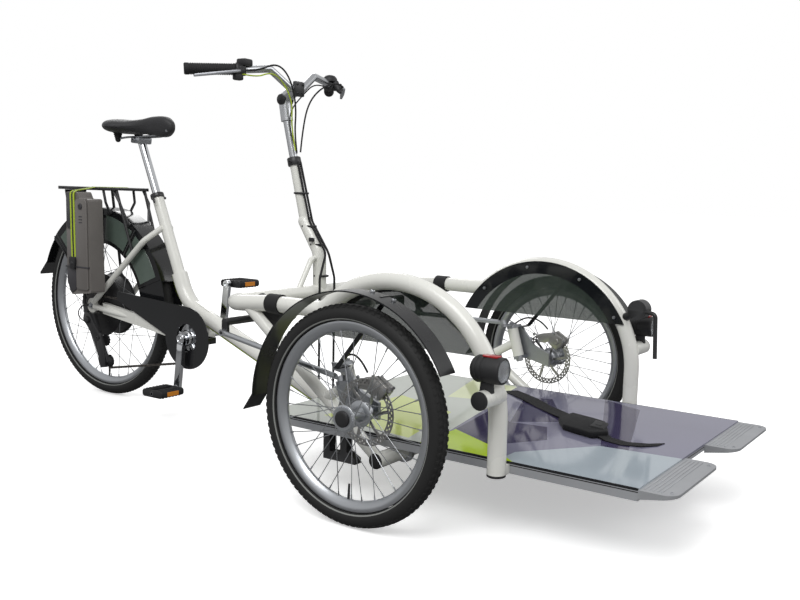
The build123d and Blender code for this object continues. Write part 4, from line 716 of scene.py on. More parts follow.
# Seat tube's clamp, the column's clamps and their screws
collarSettings = {
    "seat": ((13.8, -16), (21.5, -16), (22.5, -14.5), (22.5, -2), (21, 0), (13.8, 0)),
    "column": ((12.2, -12), (19.5, -12), (20.5, -10), (20.5, 10), (19, 12), (12.2, 12)),
}
tubeUp = Vector((-150, 0, 360)).normalized()
columnUp = Vector((-44, 0, 176)).normalized()
collars = bmesh.new()
turned(collars, collarSettings["seat"], spot(-1268, 0, 722) + tubeUp * 0.004, tubeUp, 32, ring=True)
bar(collars, spot(-1262, -22, 712), spot(-1240, -34, 698), 9, 6)
bar(collars, spot(-1262, 22, 712), spot(-1262, 30, 712), 10, 9)
turned(collars, collarSettings["column"], spot(-645, 0, 838), columnUp, 32, ring=True)
boltHead(collars, spot(-641, -20, 838), (0.2, -1, 0), 10)
settle("clampCollars", collars, "frame", blackPaint)

# Stem: pivot discs, face plate and screws
stemSettings = {
    "pivot": (-683.0, 1020.2), "disc": ((0, 6), (7, 6), (9, 4.5), (14, 4), (16, 2), (16, -2), (0, -2)),
    "plate": ((-20, 1028), (20, 1028), (20, 1072), (-20, 1072)),
}
stem = bmesh.new()
for side, sign in pairs:
    turned(stem, stemSettings["disc"], onSide(stemSettings["pivot"], 17.5 * sign), (0, sign, 0), 28)
    for up in (-13, 13):
        boltHead(stem, spot(-624, 12 * sign, 1050 + up), (1, 0, 0), 8)
crossPlate(stem, -636, stemSettings["plate"], 13, 4.0)
settle("stemDetail", stem, "handlebar", blackPaint)

# Ribbed grips, levers, switch, bell and the looped hoses
gripSettings = {
    "near": (-668.0, 180.0, 1086.0), "far": (-775.0, 305.0, 1078.0), "bare": 0.15, "ribs": 20,
    "clamp": ((11.3, -3), (16, -3), (18, -1), (18, 14), (19.5, 16), (19.5, 22), (17.5, 24.5), (11.3, 24.5)),
    "body": ((12, -10), (40, -6), (46, 12), (34, 18), (12, 12)),  # mm forwards and along the grip
    "blade": ((38, -2, -4), (52, 12, -6), (50, 70, -12), (44, 128, -18), (36, 130, -18), (36, 70, -12),
              (34, 14, -6)),
    "bell": ((0, 20), (6, 20), (14, 17.5), (20, 12), (23, 4), (23, 0), (0, 0)),
}
grips = bmesh.new()
controls = bmesh.new()
blades = bmesh.new()
for side, sign in pairs:
    nearX, nearY, nearZ = gripSettings["near"]
    farX, farY, farZ = gripSettings["far"]
    near, far = spot(nearX, nearY * sign, nearZ), spot(farX, farY * sign, farZ)
    run = (far - near).normalized()
    length = (far - near).length * 1000
    first = length * gripSettings["bare"]
    rows = [(0, first), (14.5, first), (16.4, first + 1.5), (16.4, first + 6)]
    for rib in range(gripSettings["ribs"]):
        start = first + 8 + rib * (length * (1 - gripSettings["bare"]) - 18) / gripSettings["ribs"]
        rows += [(14.9, start), (14.9, start + 1.4), (16.3, start + 2.4), (16.3, start + 4.2)]
    turned(grips, rows + [(16.4, length - 7), (16.4, length - 3), (14, length), (0, length)], near, run, 24)
    turned(controls, gripSettings["clamp"], near, run, 28, ring=True)
    ahead = Vector((run.y * sign, -run.x * sign, 0)).normalized()
    hold = near + run * 0.010
    body = [hold + ahead * wide / 1000 + run * long / 1000 for wide, long in gripSettings["body"]]
    slab(controls, body, Vector((0, 0, -0.016)), 3.0)
    boltHead(controls, hold + ahead * 0.036 + run * 0.003, (0, 0, 1), 9)
    blade = [hold + ahead * wide / 1000 + run * long / 1000 + Vector((0, 0, up / 1000))
             for wide, long, up in gripSettings["blade"]]
    slab(blades, blade, Vector((0, 0, -0.008)), 2.4)
flatPlate(controls, 1094, shifted((-668, -180), ((-17, -17), (17, -17), (17, 17), (-17, 17))), 21, 5.0)
flatPlate(controls, 1072, shifted((-662, -214), ((-8, -12), (12, -16), (18, 8), (-4, 14))), -20, 4.0)
turned(controls, gripSettings["bell"], spot(-668, 186, 1094), (0, 0, 1), 32)
bar(controls, spot(-652, 192, 1090), spot(-634, 190, 1066), 22, 18, 20)
bar(controls, spot(-634, 190, 1066), spot(-628, 189, 1058), 18, 9, 20)
settle("ribbedGrips", grips, "handlebar", rubber, replaces=("grips",), slot="rubber", smooth=60)
settle("barControls", controls, "handlebar", blackPlastic, replaces=("bar_controls",), slot="black_plastic")
settle("brakeBlades", blades, "handlebar", castAluminium)
hoses = (  # name, thickness, finish, points from its lever to the stem
    ("brakeHoseRight", 5.0, rubber, (
        (-640, -205, 1078), (-600, -190, 1080), (-580, -150, 1102), (-596, -90, 1090), (-615, -40, 1050),
        (-622, -18, 990), (-632, -14, 920), (-628, -8, 866))),
    ("shiftHoseRight", 4.0, limeRubber, (
        (-650, -215, 1070), (-622, -180, 1062), (-628, -120, 1084), (-640, -60, 1072), (-630, -24, 1010),
        (-640, -20, 940), (-630, -12, 870))),
    ("brakeHoseLeft", 5.0, rubber, (
        (-640, 205, 1078), (-606, 186, 1072), (-596, 130, 1082), (-604, 70, 1060), (-612, 22, 1010),
        (-624, 12, 930), (-628, 8, 866))),
    ("lampHose", 4.0, rubber, (
        (-650, 190, 1066), (-640, 150, 1070), (-648, 90, 1076), (-636, 30, 1040), (-650, -22, 980),
        (-640, -16, 900), (-630, -4, 862))),
)
for name, size, material, points in hoses:
    wire(name, points, size, "handlebar", material)
print("stage: saddle and handlebar")


# Battery: column with its lock, lid, bands, and the strap over it
batterySettings = {
    "face": -148, "front": -154,
    "column": ((-1502, 694), (-1494, 700), (-1450, 700), (-1440, 692), (-1440, 398), (-1446, 392),
               (-1498, 392), (-1504, 400)),
    "cheek": ((-1553, 596), (-1508, 596), (-1508, 474), (-1554, 474)),
    "lid": ((-1552, 721), (-1512, 721), (-1506, 714), (-1506, 606), (-1512, 600), (-1546, 600), (-1552, 606)),
    "foot": ((-1555, 466), (-1508, 466), (-1508, 392), (-1532, 378), (-1542, 384), (-1556, 420)),
    "band": ((-1558, 473), (-1436, 473), (-1436, 467), (-1558, 467)),
    "lock": ((0, 2.0), (4.6, 2.0), (5.4, 3.4), (8.6, 3.4), (10.4, 2.2), (10.8, 0), (0, 0)),
    "gauge": (640, 630, 620),
}
shell = bmesh.new()
lid = bmesh.new()
face, front = batterySettings["face"], batterySettings["front"]
sidePlate(shell, face, batterySettings["column"], -6, 2.4)
sidePlate(shell, face, batterySettings["cheek"], -3, 1.2)
sidePlate(lid, face, batterySettings["lid"], -3.5, 1.4)
sidePlate(lid, face, batterySettings["foot"], -3.5, 1.4)
sidePlate(lid, face + 1, batterySettings["band"], -8.5, 1.0)
turned(lid, batterySettings["lock"], spot(-1471, front, 676), (0, -1, 0), 28)
for up in batterySettings["gauge"]:
    sidePlate(lid, front, ((-1480, up), (-1462, up), (-1462, up + 4), (-1480, up + 4)), -0.8, 0.3, 1)
settle("batteryShellDetail", shell, "frame", batteryShell)
settle("batteryLid", lid, "frame", darkShell)

strapSettings = {
    "bands": (("strapRear", -1523, 8, limeRubber), ("strapMiddle", -1515, 9, blackPlastic),
              ("strapFront", -1507, 8, limeRubber)),
    "route": (  # y and z over the rack and down the battery
        (64, 738), (66, 742.4), (60, 743.2), (-58, 743.2), (-70, 742), (-96, 737), (-140, 730), (-152, 724),
        (-153.8, 716), (-153.8, 560), (-153.2, 500)),
    "buckle": ((-1530, 504), (-1500, 504), (-1498, 490), (-1502, 462), (-1526, 462), (-1532, 490)),
}
for name, x, width, material in strapSettings["bands"]:
    strap = bmesh.new()
    ribbon(strap, [(x, y, z) for y, z in strapSettings["route"]], Vector((width / 1000, 0, 0)), 1.6)
    settle(name, strap, "frame", material)
buckle = bmesh.new()
sidePlate(buckle, -152, strapSettings["buckle"], -10, 3.0)
turned(buckle, ((0, 2), (4, 2), (6, 0), (0, 0)), spot(-1515, -162, 482), (0, -1, 0), 16)
settle("strapBuckle", buckle, "frame", blackPlastic)

# Rack: side rails, rear plate and its light
rackSettings = {
    "rail": ((-1714, 731), (-1398, 731), (-1396, 735), (-1398, 742), (-1714, 742), (-1716, 737)),
    "bolts": (-1690, -1600, -1480, -1420), "end": -1716,
    "plate": ((-40, 700), (40, 700), (44, 730), (-44, 730)),
    "light": ((-34, 704), (34, 704), (36, 726), (-36, 726)),
}
rails = bmesh.new()
for side, sign in pairs:
    sidePlate(rails, 66 * sign, rackSettings["rail"], 4 * sign, 1.0)
    for x in rackSettings["bolts"]:
        boltHead(rails, spot(x, 70 * sign, 736.5), (0, sign, 0), 6)
crossPlate(rails, rackSettings["end"], rackSettings["plate"], 4, 1.0)
settle("rackRails", rails, "frame", blackPaint)
rearLight = bmesh.new()
crossPlate(rearLight, rackSettings["end"], rackSettings["light"], -6, 3.0)
settle("rearLight", rearLight, "frame", redPlastic)

# Coat guards: tinted windows and ribs on their outer faces
guardSettings = {
    "face": 37.3, "windows": ((22, 52, 236, 322), (56, 82, 236, 322), (88, 112, 236, 322),
                              (116, 134, 240, 318)),
    "arcSteps": 5, "ribs": (19.5, 54, 85, 114, 136), "ribInner": 226, "ribOuter": 338,
}
windows = bmesh.new()
guardRibs = bmesh.new()
for side, sign in pairs:
    face = guardSettings["face"] * sign
    for start, end, inner, outer in guardSettings["windows"]:
        steps = guardSettings["arcSteps"]
        arc = [polar(rearAxle, outer, start + (end - start) * step / steps) for step in range(steps + 1)]
        arc += [polar(rearAxle, inner, end - (end - start) * step / steps) for step in range(steps + 1)]
        sidePlate(windows, face, arc, 1.2 * sign, 0.4, 1)
    for angle in guardSettings["ribs"]:
        inner = onSide(polar(rearAxle, guardSettings["ribInner"], angle), face)
        outer = onSide(polar(rearAxle, guardSettings["ribOuter"], angle), face)
        bar(guardRibs, inner, outer, 5, 4, 8)
settle("guardWindows", windows, "frame", windowGreen)
settle("guardRibs", guardRibs, "frame", glossBlack)

# Rear mudguard's stays
for side, sign in pairs:
    wire("mudguardStay_" + side, (
        (-1549, 70 * sign, 318), (-1600, 58 * sign, 370), (-1700, 40 * sign, 470), (-1798, 35 * sign, 556)),
        4.0, "frame", blackPaint)

# Derailleur: body, cage, toothed pulleys and its hose
changerSettings = {
    "body": ((-1560, 300), (-1528, 302), (-1506, 270), (-1474, 232), (-1476, 206), (-1502, 204), (-1536, 246),
             (-1566, 276)),
    "cage": ((-1492, 236), (-1468, 236), (-1446, 140), (-1448, 118), (-1470, 114), (-1482, 130)),
    "pivot": ((0, 8), (9, 8), (12, 6), (13, 0), (13, -12), (0, -12)),
    "pulleys": (((-1462, 135), 23), ((-1478, 208), 21)),
    "hose": ((-1400, -46, 300), (-1500, -52, 318), (-1580, -70, 330), (-1604, -84, 300), (-1580, -88, 272),
             (-1548, -86, 268)),
}
changer = bmesh.new()
pulleys = bmesh.new()
sidePlate(changer, -74, changerSettings["body"], -16, 4.0)
sidePlate(changer, -86, changerSettings["cage"], -3, 1.2)
turned(changer, changerSettings["pivot"], spot(-1536, -92, 278), (0, -1, 0), 24)
boltHead(changer, spot(-1480, -90, 220), (0, -1, 0), 12)
for place, size in changerSettings["pulleys"]:
    toothed(pulleys, onSide(place, -61), (0, 1, 0), size, 11, 3.5, 5)
settle("derailleurBody", changer, "frame", blackPaint)
settle("derailleurPulleys", pulleys, "frame", blackPlastic)
wire("derailleurHose", changerSettings["hose"], 4.0, "frame", rubber)

# Chain of links, in two runs: waisted side plates, outer and inner in turn, on a pin each
chainSettings = {
    "runs": (((-1050.0, 347.5), (-1535.0, 364.5)), ((-1050.0, 180.5), (-1462.0, 110.2))), "pitch": 12.7,
    "plate": ((-0.28, 2.0), (0.0, 4.2), (0.5, 2.8), (1.0, 4.2), (1.28, 2.0)),  # share along the link, mm up
    "outer": ((-54.9, -0.9), (-61.1, 0.9)), "inner": ((-56.0, -0.9), (-60.0, 0.9)), "pin": (-54.6, -61.4),
    "pinSize": 6.4,
}
plateRows = chainSettings["plate"] + tuple((ahead, -up) for ahead, up in reversed(chainSettings["plate"]))
links = bmesh.new()
for start, end in chainSettings["runs"]:
    run = Vector((end[0] - start[0], end[1] - start[1]))
    count = int(run.length / chainSettings["pitch"])
    unit = run / count
    norm = Vector((-unit.y, unit.x)).normalized()
    for number in range(count):
        pin = Vector(start) + unit * number
        outline = [Vector(start) + unit * (number + ahead) + norm * up for ahead, up in plateRows]
        for face, thick in chainSettings["outer" if number % 2 else "inner"]:
            sidePlate(links, face, outline, thick)
        bar(links, onSide(pin, chainSettings["pin"][0]), onSide(pin, chainSettings["pin"][1]),
            chainSettings["pinSize"], steps=8)
settle("chainLinks", links, "frame", chainSteel, replaces=("chain",), slot="chain", smooth=30)

# Crank: chainring teeth, spider, bolts, and arms with their bosses
crankSettings = {
    "lean": 8, "reach": 170, "bottom": ((0, 0), (24, 0), (26, 2), (26, 10), (22, 15), (0, 15)),
    "spider": ((20, -16), (46, -7), (58, -6), (58, 6), (46, 7), (20, 16)), "spiderArms": 5, "spiderTurn": 18,
    "bolt": ((0, 3), (6, 3), (7, 1.6), (10, 1.6), (12, 3.4), (15, 3), (17, 0), (0, 0)),
    "boss": ((5.9, 1.5), (11.6, 1.5), (12.8, 0.4), (12.8, -13.4), (11.6, -14.5), (5.9, -14.5)),
    "arm": ((20, 12.6), (90, 10.4), (150, 9.4), (150, -9.4), (90, -10.4), (20, -12.6)),  # mm along and across
}
crankLean = math.radians(crankSettings["lean"])
away = Vector((math.sin(crankLean), math.cos(crankLean)))
edge = Vector((away.y, -away.x))
crankPieces = bmesh.new()
toothed(crankPieces, onSide(crankAxle, -56), (0, -1, 0), 81, 38, 4.0, 4)
turned(crankPieces, crankSettings["bottom"], onSide(crankAxle, -60), (0, -1, 0), 32)
for number in range(crankSettings["spiderArms"]):
    start = number * 360 / crankSettings["spiderArms"] + crankSettings["spiderTurn"]
    corners = [polar(crankAxle, size, start + turn) for size, turn in crankSettings["spider"]]
    sidePlate(crankPieces, -60.5, corners, -4.5, 1.0)
for side, sign in pairs:
    foot = Vector(crankAxle) + away * crankSettings["reach"] * sign
    turned(crankPieces, crankSettings["bolt"], onSide(crankAxle, 94 * sign), (0, sign, 0), 28)
    turned(crankPieces, crankSettings["boss"], onSide(foot, 93.5 * sign), (0, sign, 0), 24, ring=True)
    outline = [Vector(crankAxle) + away * long * sign + edge * wide for long, wide in crankSettings["arm"]]
    sidePlate(crankPieces, 93.6 * sign, outline, 1.8 * sign, 0.8)
settle("crankDetail", crankPieces, "crank", chromePlate)

# Pedals: two rubber treads on a cage, with amber reflectors
pedalSettings = {
    "block": ((15, -11), (42, -11), (47, -6), (47, 6), (42, 11), (15, 11)),
    "rib": ((18, -12.8), (41, -12.8), (41, 12.8), (18, 12.8)), "ribs": 6, "firstRib": 110, "ribPitch": 13,
    "glass": ((124, -7), (168, -7), (168, 7), (124, 7)), "glassAhead": 46.5, "cagePlates": (101, 187),
    "cage": ((-46, -6), (-40, -12), (40, -12), (46, -6), (46, 6), (40, 12), (-40, 12), (-46, 6)),
    "sleeve": ((6.4, 101), (9, 101), (10, 103), (8, 112), (8, 178), (10, 186), (9, 190), (6.4, 190)),
    "cap": ((0, 192.0), (5, 192), (6.2, 190.5), (6.2, 186), (0, 186)),
}
for side, sign in pairs:
    body = "pedal_" + side
    reach = crankSettings["reach"] * sign
    place = (crankAxle[0] + reach * math.sin(crankLean), crankAxle[1] + reach * math.cos(crankLean))
    tread = bmesh.new()
    cage = bmesh.new()
    glass = bmesh.new()
    for ahead in (-1, 1):
        sidePlate(tread, 104 * sign, shifted(place, pedalSettings["block"], ahead), 84 * sign, 2.5)
        rib = shifted(place, pedalSettings["rib"], ahead)
        for step in range(pedalSettings["ribs"]):
            y = (pedalSettings["firstRib"] + step * pedalSettings["ribPitch"]) * sign
            sidePlate(tread, y, rib, 7 * sign, 1.0, 1)
        corners = [(y * sign, place[1] + z) for y, z in pedalSettings["glass"]]
        crossPlate(glass, place[0] + ahead * pedalSettings["glassAhead"], corners, 2.5 * ahead, 0.6, 1)
    for y in pedalSettings["cagePlates"]:
        sidePlate(cage, y * sign, shifted(place, pedalSettings["cage"]), 4 * sign, 1.2)
    turned(cage, pedalSettings["sleeve"], onSide(place, 0), (0, sign, 0), 20, ring=True)
    turned(cage, pedalSettings["cap"], onSide(place, 0), (0, sign, 0), 16)
    settle("pedalTread_" + side, tread, body, rubber, replaces=(body,), slot="rubber")
    settle("pedalCage_" + side, cage, body, blackPlastic)
    settle("pedalReflector_" + side, glass, body, amber)

# Rack legs that carry the plate on the coat guards
legSettings = {"feet": ((-1470, 78), (-1416, 60)), "reach": 336, "size": 9, "knee": 690,
               "pad": ((0, 3), (6, 3), (8, 1.5), (8, -4), (0, -4))}
legs = bmesh.new()
for side, sign in pairs:
    for topX, angle in legSettings["feet"]:
        foot = polar(rearAxle, legSettings["reach"], angle)
        top, knee = spot(topX, 62 * sign, 731), spot((topX + foot[0]) / 2 + 6, 60 * sign, legSettings["knee"])
        bar(legs, top, knee, legSettings["size"], steps=10)
        bar(legs, knee, onSide(foot, 42 * sign), legSettings["size"], steps=10)
        turned(legs, legSettings["pad"], onSide(foot, 42 * sign), (0, sign, 0), 16)
settle("rackLegs", legs, "frame", blackPaint)

# Frame fittings: axle nuts, bottom bracket cups, tube end caps, cable clips
fittingSettings = {
    "axleNut": ((0, 11), (4.5, 11), (6, 9.6), (6, 5), (11.5, 5), (12, 4), (12, 0), (0, 0)),
    "cup": ((9.2, 3), (19, 3), (20.5, 1.5), (20.5, 0), (9.2, 0)),
    "endCap": ((0, 3), (14, 3), (18, 2), (19.2, 0.4), (19.2, 0), (0, 0)),
    "clips": ((-541, 500), (-556, 592), (-590, 645), (-622, 742)),
    "clip": ((-6, -21.5), (26, -12), (29, 0), (26, 12), (-6, 21.5)),
}
fittings = bmesh.new()
caps = bmesh.new()
for side, sign in pairs:
    turned(fittings, fittingSettings["axleNut"], onSide(rearAxle, 72 * sign), (0, sign, 0), 6)
    turned(fittings, fittingSettings["cup"], onSide(crankAxle, 36 * sign), (0, sign, 0), 24, ring=True)
    turned(caps, fittingSettings["endCap"], spot(0, 415 * sign, 130), (0, sign, 0), 32)
for x, z in fittingSettings["clips"]:
    flatPlate(caps, z, shifted((x, 0), fittingSettings["clip"]), 6, 1.5)
screw = [spot(-560, -22, z) for z in (604, 616)] + [spot(-540, -24, z) for z in (616, 604)]
slab(caps, screw, Vector((0, -0.008, 0)), 2.0)
settle("frameFittings", fittings, "frame", machinedSteel)
settle("tubeCaps", caps, "frame", blackPlastic)

# Knuckles: kingpin nuts, calipers with their bolts and hoses, mudguard bolts
knuckleSettings = {
    "lean": 17, "kingpin": (-100, 405), "high": 345, "low": 262, "half": 0.0095,
    "topNut": ((0, 12), (5, 12), (6.5, 10.5), (6.5, 7), (11, 7), (12, 5.6), (12, 1.6), (15, 1.4), (15, 0),
               (0, 0)),
    "bottomNut": ((0, 8), (9, 8), (11, 6), (11, 0), (0, 0)), "armBolts": ((-40, 330), (-50, 316)),
    # turn, reach, y, size
    "guardBolts": ((70, 286.0, 488, 11), (82, 286.0, 488, 11), (176, 286.2, 504, 9), (171, 286.2, 504, 9)),
}
caliperSettings = {
    "turn": 58.0, "boltReach": 88, "boltTurns": (-13, 13), "pistonReach": 69,
    # y from and to, radius from and to
    "parts": ((434, 451, 50, 92), (459.5, 467.5, 52, 92), (450, 460.5, 83.5, 96)),
    "piston": ((0, 2), (8, 2), (9.6, 0.6), (12, 0.4), (12.4, -1), (0, -1)),
    "mount": ((-30, 326), (-8, 336), (24, 342), (40, 330), (24, 318), (-4, 306), (-30, 306)),
}
for side, sign in pairs:
    body = "knuckle_" + side
    lean = math.radians(knuckleSettings["lean"])
    up = Vector((-math.sin(lean), 0, math.cos(lean)))
    pinX, pinY = knuckleSettings["kingpin"]
    high, low = knuckleSettings["high"], knuckleSettings["low"]
    nuts = bmesh.new()
    top = spot(pinX, pinY * sign, high) + up * knuckleSettings["half"]
    turned(nuts, knuckleSettings["topNut"], top, up, 6)
    bottom = spot(pinX + (high - low) * math.tan(lean), pinY * sign, low) - up * knuckleSettings["half"]
    turned(nuts, knuckleSettings["bottomNut"], bottom, -up, 6)
    for place in knuckleSettings["armBolts"]:
        boltHead(nuts, onSide(place, 434 * sign), (0, sign, 0), 9)
    caliper = bmesh.new()
    turn = caliperSettings["turn"]
    for inner, outer, near, far in caliperSettings["parts"]:
        corners = ((near, -15), (near + 8, -21), (far - 8, -17), (far, -12), (far, 12), (far - 8, 17),
                   (near + 8, 21), (near, 15))
        outline = [polar(frontAxle, reach, turn + more) for reach, more in corners]
        sidePlate(caliper, inner * sign, outline, (outer - inner) * sign, 1.6)
    for more in caliperSettings["boltTurns"]:
        place = polar(frontAxle, caliperSettings["boltReach"], turn + more)
        boltHead(nuts, onSide(place, 434.3 * sign), (0, -sign, 0), 8)
        boltHead(nuts, onSide(place, 467.3 * sign), (0, sign, 0), 7, 0.6)
    piston = polar(frontAxle, caliperSettings["pistonReach"], turn)
    turned(caliper, caliperSettings["piston"], onSide(piston, 434.5 * sign), (0, -sign, 0), 24)
    sidePlate(caliper, 440 * sign, caliperSettings["mount"], 8 * sign, 1.4)
    settle("knuckleNuts_" + side, nuts, body, machinedSteel)
    settle("caliperDetail_" + side, caliper, body, rotorSteel, replaces=("caliper_" + side,),
           slot="black_metal")
    wire("caliperHose_" + side, (
        (0, 450 * sign, 348), (-20, 446 * sign, 372), (-60, 432 * sign, 384), (-96, 424 * sign, 366),
        (-104, 412 * sign, 352)), 5.0, body, rubber)
    guardBolts = bmesh.new()
    for angle, reach, y, size in knuckleSettings["guardBolts"]:
        outwards = (math.cos(math.radians(angle)), 0, math.sin(math.radians(angle)))
        boltHead(guardBolts, onSide(polar(frontAxle, reach, angle), y * sign), outwards, size)
    settle("mudguardBolts_" + side, guardBolts, body, machinedSteel)
print("stage: frame and drive details")


# Hoops: panel bolts and end caps, and the lamps on them
hoopSettings = {
    "boltReach": 283, "boltTurns": (33, 64, 100, 134), "stub": (308, 465, 330), "post": (308, 381, 148),
    "stubCap": ((0, 3), (12, 3), (16, 2), (19.6, 1.6), (20.4, 0), (20.4, -2), (0, -2)),
    "postCap": ((0, 3), (14, 3), (19, 2.4), (21.4, 1), (21.4, -4), (0, -4)),
}
lampSettings = {
    "back": (278, 434, 394),
    "body": (
        (0, -6), (15, -6), (24, 0), (28.4, 6), (28.4, 8), (29.6, 9), (29.6, 14), (28.4, 15), (28.4, 20),
        (29.6, 21), (29.6, 26), (28.4, 27), (28.4, 32), (29.6, 33), (29.6, 62), (28.6, 69), (26, 71),
        (25, 69), (25, 64), (0, 64)),
    "bracket": ((292, 336), (324, 336), (320, 372), (296, 372)),
    "cup": ((0, 64.5), (8, 64.8), (20, 67), (24.6, 70), (24.6, 64.2), (0, 64.2)),
    "lens": ((0, 74), (10, 73.4), (18, 72), (24.4, 70.2), (24.4, 69.4), (18, 70.6), (10, 71.8), (0, 72.4)),
    "accent": ((300, 424), (336, 422), (340, 434), (336, 446), (300, 444), (296, 434)),
}
for side, sign in pairs:
    dots = bmesh.new()
    ends = bmesh.new()
    for angle in hoopSettings["boltTurns"]:
        place = polar(hoopCentre, hoopSettings["boltReach"], angle)
        boltHead(dots, onSide(place, 355.5 * sign), (0, -sign, 0), 10)
        boltHead(dots, onSide(place, 359.5 * sign), (0, sign, 0), 10)
    for key, axis in (("stub", (0, sign, 0)), ("post", (0, 0, -1))):
        x, y, z = hoopSettings[key]
        turned(ends, hoopSettings[key + "Cap"], spot(x, y * sign, z), axis, 36)
    settle("panelBolts_" + side, dots, "platform", machinedSteel)
    settle("hoopCaps_" + side, ends, "platform", blackPlastic)

    x, y, z = lampSettings["back"]
    back = spot(x, y * sign, z)
    lamp = bmesh.new()
    turned(lamp, lampSettings["body"], back, (1, 0, 0), 40)
    sidePlate(lamp, 426 * sign, lampSettings["bracket"], 16 * sign, 2.0)
    settle("lampBody_" + side, lamp, "platform", blackPlastic, replaces=("lamp_" + side,), slot="black_plastic")
    for key, material in (("cup", chromePlate), ("lens", clearLens)):
        glass = bmesh.new()
        turned(glass, lampSettings[key], back, (1, 0, 0), 32)
        settle("lamp" + key.capitalize() + "_" + side, glass, "platform", material)
    accent = bmesh.new()
    flatPlate(accent, 421, [(x, y * sign) for x, y in lampSettings["accent"]], 4.5, 1.6)
    settle("lampAccent_" + side, accent, "platform", redPlastic)
    wire("lampLead_" + side, (
        (284, 434 * sign, 400), (275, 430 * sign, 404), (271, 420 * sign, 394), (273, 410 * sign, 372),
        (285, 403 * sign, 350), (299, 400 * sign, 340)), 5.0, "platform", rubber)

# Ramp tips: raised ribs and two screws each
tipSettings = {"top": 175, "ribs": 5, "first": 634, "pitch": 9, "width": 3.4, "inner": 84, "outer": 344,
               "screws": (96, 334)}
ribs = bmesh.new()
for side, sign in pairs:
    inner, outer = tipSettings["inner"] * sign, tipSettings["outer"] * sign
    for step in range(tipSettings["ribs"]):
        x = tipSettings["first"] + step * tipSettings["pitch"]
        ahead = x + tipSettings["width"]
        corners = ((x, inner), (ahead, inner), (ahead, outer), (x, outer))
        flatPlate(ribs, tipSettings["top"], corners, 1.2, 0.5, 1)
    for y in tipSettings["screws"]:
        boltHead(ribs, spot(690, y * sign, tipSettings["top"]), (0, 0, 1), 9, 1.6)
settle("tipRibs", ribs, "platform", castAluminium)

# Belt as it lies on the deck: two lengths of webbing, a padded plate and its buckle
beltSettings = {
    "anchored": ((-26, 272, 180), (20, 243, 181), (80, 202, 182.6), (150, 152, 180.6), (220, 104, 182),
                 (262, 74, 184), (300, 48, 186)),
    "loose": ((400, -36, 186), (432, -52, 181), (474, -60, 180), (520, -46, 181.4), (548, -12, 180)),
    "pad": ((262, 96), (330, 78), (372, 62), (420, -30), (392, -70), (300, -40), (258, 20)),
    "buckle": ((352, 44), (392, 34), (404, -24), (364, -18)),
    "button": ((368, 24), (386, 20), (390, -8), (372, -4)),
    "swell": 0.003, "swellFrom": 0.186,
}
beltBand = bmesh.new()
ribbon(beltBand, beltSettings["anchored"], Vector((0.028, 0.036, 0)), 2.0)
ribbon(beltBand, beltSettings["loose"], Vector((0.006, 0.034, 0)), 2.0)
settle("beltWebbing", beltBand, "platform", webbing)
padMesh = bmesh.new()
flatPlate(padMesh, 179.0, beltSettings["pad"], 12, 5.0, 3)
for vert in padMesh.verts:
    if vert.co.z > beltSettings["swellFrom"]:
        vert.co.z += beltSettings["swell"]
beltPad = settle("beltPad", padMesh, "platform", webbing, smooth=70)
beltBuckle = bmesh.new()
flatPlate(beltBuckle, 190, beltSettings["buckle"], 8, 3.0)
flatPlate(beltBuckle, 198, beltSettings["button"], 1.6, 0.8, 1)
settle("beltBuckle", beltBuckle, "platform", blackPlastic)
print("stage: platform details")


# Floor, lights and camera
studio = {
    "floorSize": 80.0, "floorDrop": -0.001, "floorLift": 0.42, "bounce": "#8C8C8C", "worldStrength": 0.62,
    "lamps": (  # name, place, target, size, energy
        ("keyLight", (1.5, -3.5, 4.5), (0, 0, 0.4), (3.0, 3.0), 150.0),
        ("fillLight", (4.0, 2.5, 3.0), (0.3, 0, 0.4), (3.0, 2.0), 35.0),
        ("rimLight", (-3.5, 3.0, 3.5), (-0.4, 0, 0.5), (2.5, 2.0), 55.0)),
}
scene = bpy.context.scene
floorMesh = bmesh.new()
bmesh.ops.create_grid(floorMesh, x_segments=1, y_segments=1, size=studio["floorSize"] / 2)
floorData = bpy.data.meshes.new("floor")
floorMesh.to_mesh(floorData)
floorMesh.free()
floor = bpy.data.objects.new("floor", floorData)
floor.location = (0, 0, studio["floorDrop"])
scene.collection.objects.link(floor)
floorMaterial, floorTree = newMaterial("paleFloor")  # white to the camera, darker in what it bounces back
seenByCamera = addNode(floorTree, "ShaderNodeLightPath").outputs["Is Camera Ray"]
floorLift = addNode(floorTree, "ShaderNodeMath", {"operation": "MULTIPLY", 1: studio["floorLift"]},
                    {0: seenByCamera})
floorGlow = addNode(floorTree, "ShaderNodeEmission", {"Color": hexColor("#FFFFFF")},
                    {"Strength": floorLift.outputs[0]})
floorShade = layer(floorTree, studio["bounce"], seenByCamera, "#FCFCFC")
floorPaint = addNode(floorTree, "ShaderNodeBsdfDiffuse", None, {"Color": floorShade})
floorBoth = addNode(floorTree, "ShaderNodeAddShader", None, {0: floorPaint.outputs[0], 1: floorGlow.outputs[0]})
addNode(floorTree, "ShaderNodeOutputMaterial", None, {"Surface": floorBoth.outputs[0]})
floorData.materials.append(floorMaterial)

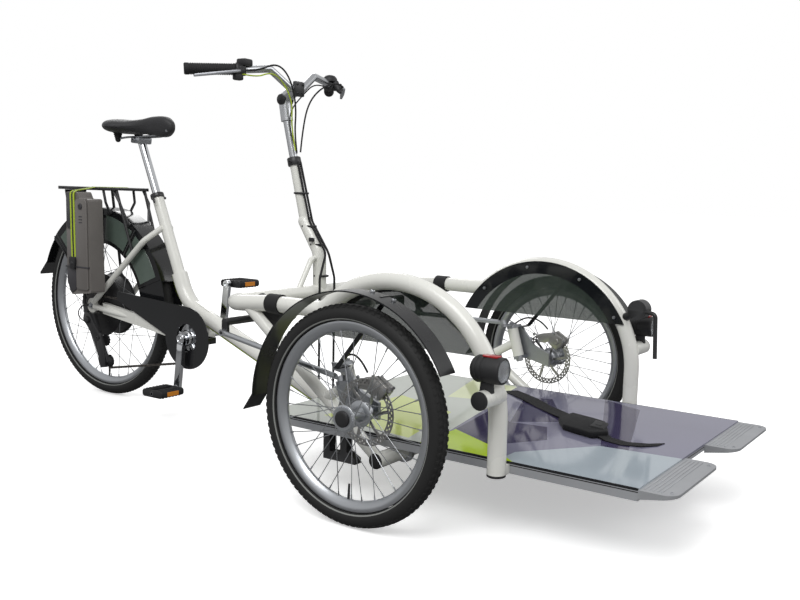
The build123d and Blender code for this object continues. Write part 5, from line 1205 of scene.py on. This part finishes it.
world = bpy.data.worlds.new("studioWorld")
world.use_nodes = True
scene.world = world
worldTree = world.node_tree
worldTree.nodes.clear()
path = addNode(worldTree, "ShaderNodeLightPath")
white = hexColor("#FFFFFF")
lit = addNode(worldTree, "ShaderNodeBackground", {"Color": white, "Strength": studio["worldStrength"]})
seen = addNode(worldTree, "ShaderNodeBackground", {"Color": white, "Strength": 1.0})
chooser = addNode(worldTree, "ShaderNodeMixShader", None,
                  {0: path.outputs["Is Camera Ray"], 1: lit.outputs[0], 2: seen.outputs[0]})
addNode(worldTree, "ShaderNodeOutputWorld", None, {"Surface": chooser.outputs[0]})

for name, place, target, size, energy in studio["lamps"]:
    data = bpy.data.lights.new(name, "AREA")
    data.shape = "RECTANGLE"
    data.size, data.size_y = size
    data.energy = energy
    lamp = bpy.data.objects.new(name, data)
    lamp.location = place
    lamp.rotation_euler = (Vector(target) - Vector(place)).to_track_quat("-Z", "Y").to_euler()
    scene.collection.objects.link(lamp)

view = {  # the photograph's camera: angles in degrees, focal length and picture centre in pixels
    "place": (1.8640, -2.0686, 0.7644), "yaw": 122.74, "pitch": -7.98, "roll": 1.72, "focal": 912.227,
    "centre": (453.485, 319.142), "frame": (800, 600), "sensor": 36.0,
}
yaw, pitch, roll = (math.radians(view[key]) for key in ("yaw", "pitch", "roll"))
forward = Vector((math.cos(pitch) * math.cos(yaw), math.cos(pitch) * math.sin(yaw), math.sin(pitch)))
level = Vector((math.sin(yaw), -math.cos(yaw), 0))
above = level.cross(forward)
sideways = level * math.cos(roll) + above * math.sin(roll)
upwards = above * math.cos(roll) - level * math.sin(roll)
cameraData = bpy.data.cameras.new("photoCamera")
camera = bpy.data.objects.new("photoCamera", cameraData)
turn = Matrix((sideways, upwards, -forward)).transposed().to_4x4()
camera.matrix_world = Matrix.Translation(view["place"]) @ turn
cameraData.sensor_width = view["sensor"]
cameraData.lens = view["focal"] / view["frame"][0] * view["sensor"]
cameraData.shift_x = (view["frame"][0] / 2 - view["centre"][0]) / view["frame"][0]
cameraData.shift_y = (view["centre"][1] - view["frame"][1] / 2) / view["frame"][0]
scene.collection.objects.link(camera)
scene.camera = camera
scene.view_settings.view_transform = "Standard"
print("stage: floor, lights and camera")
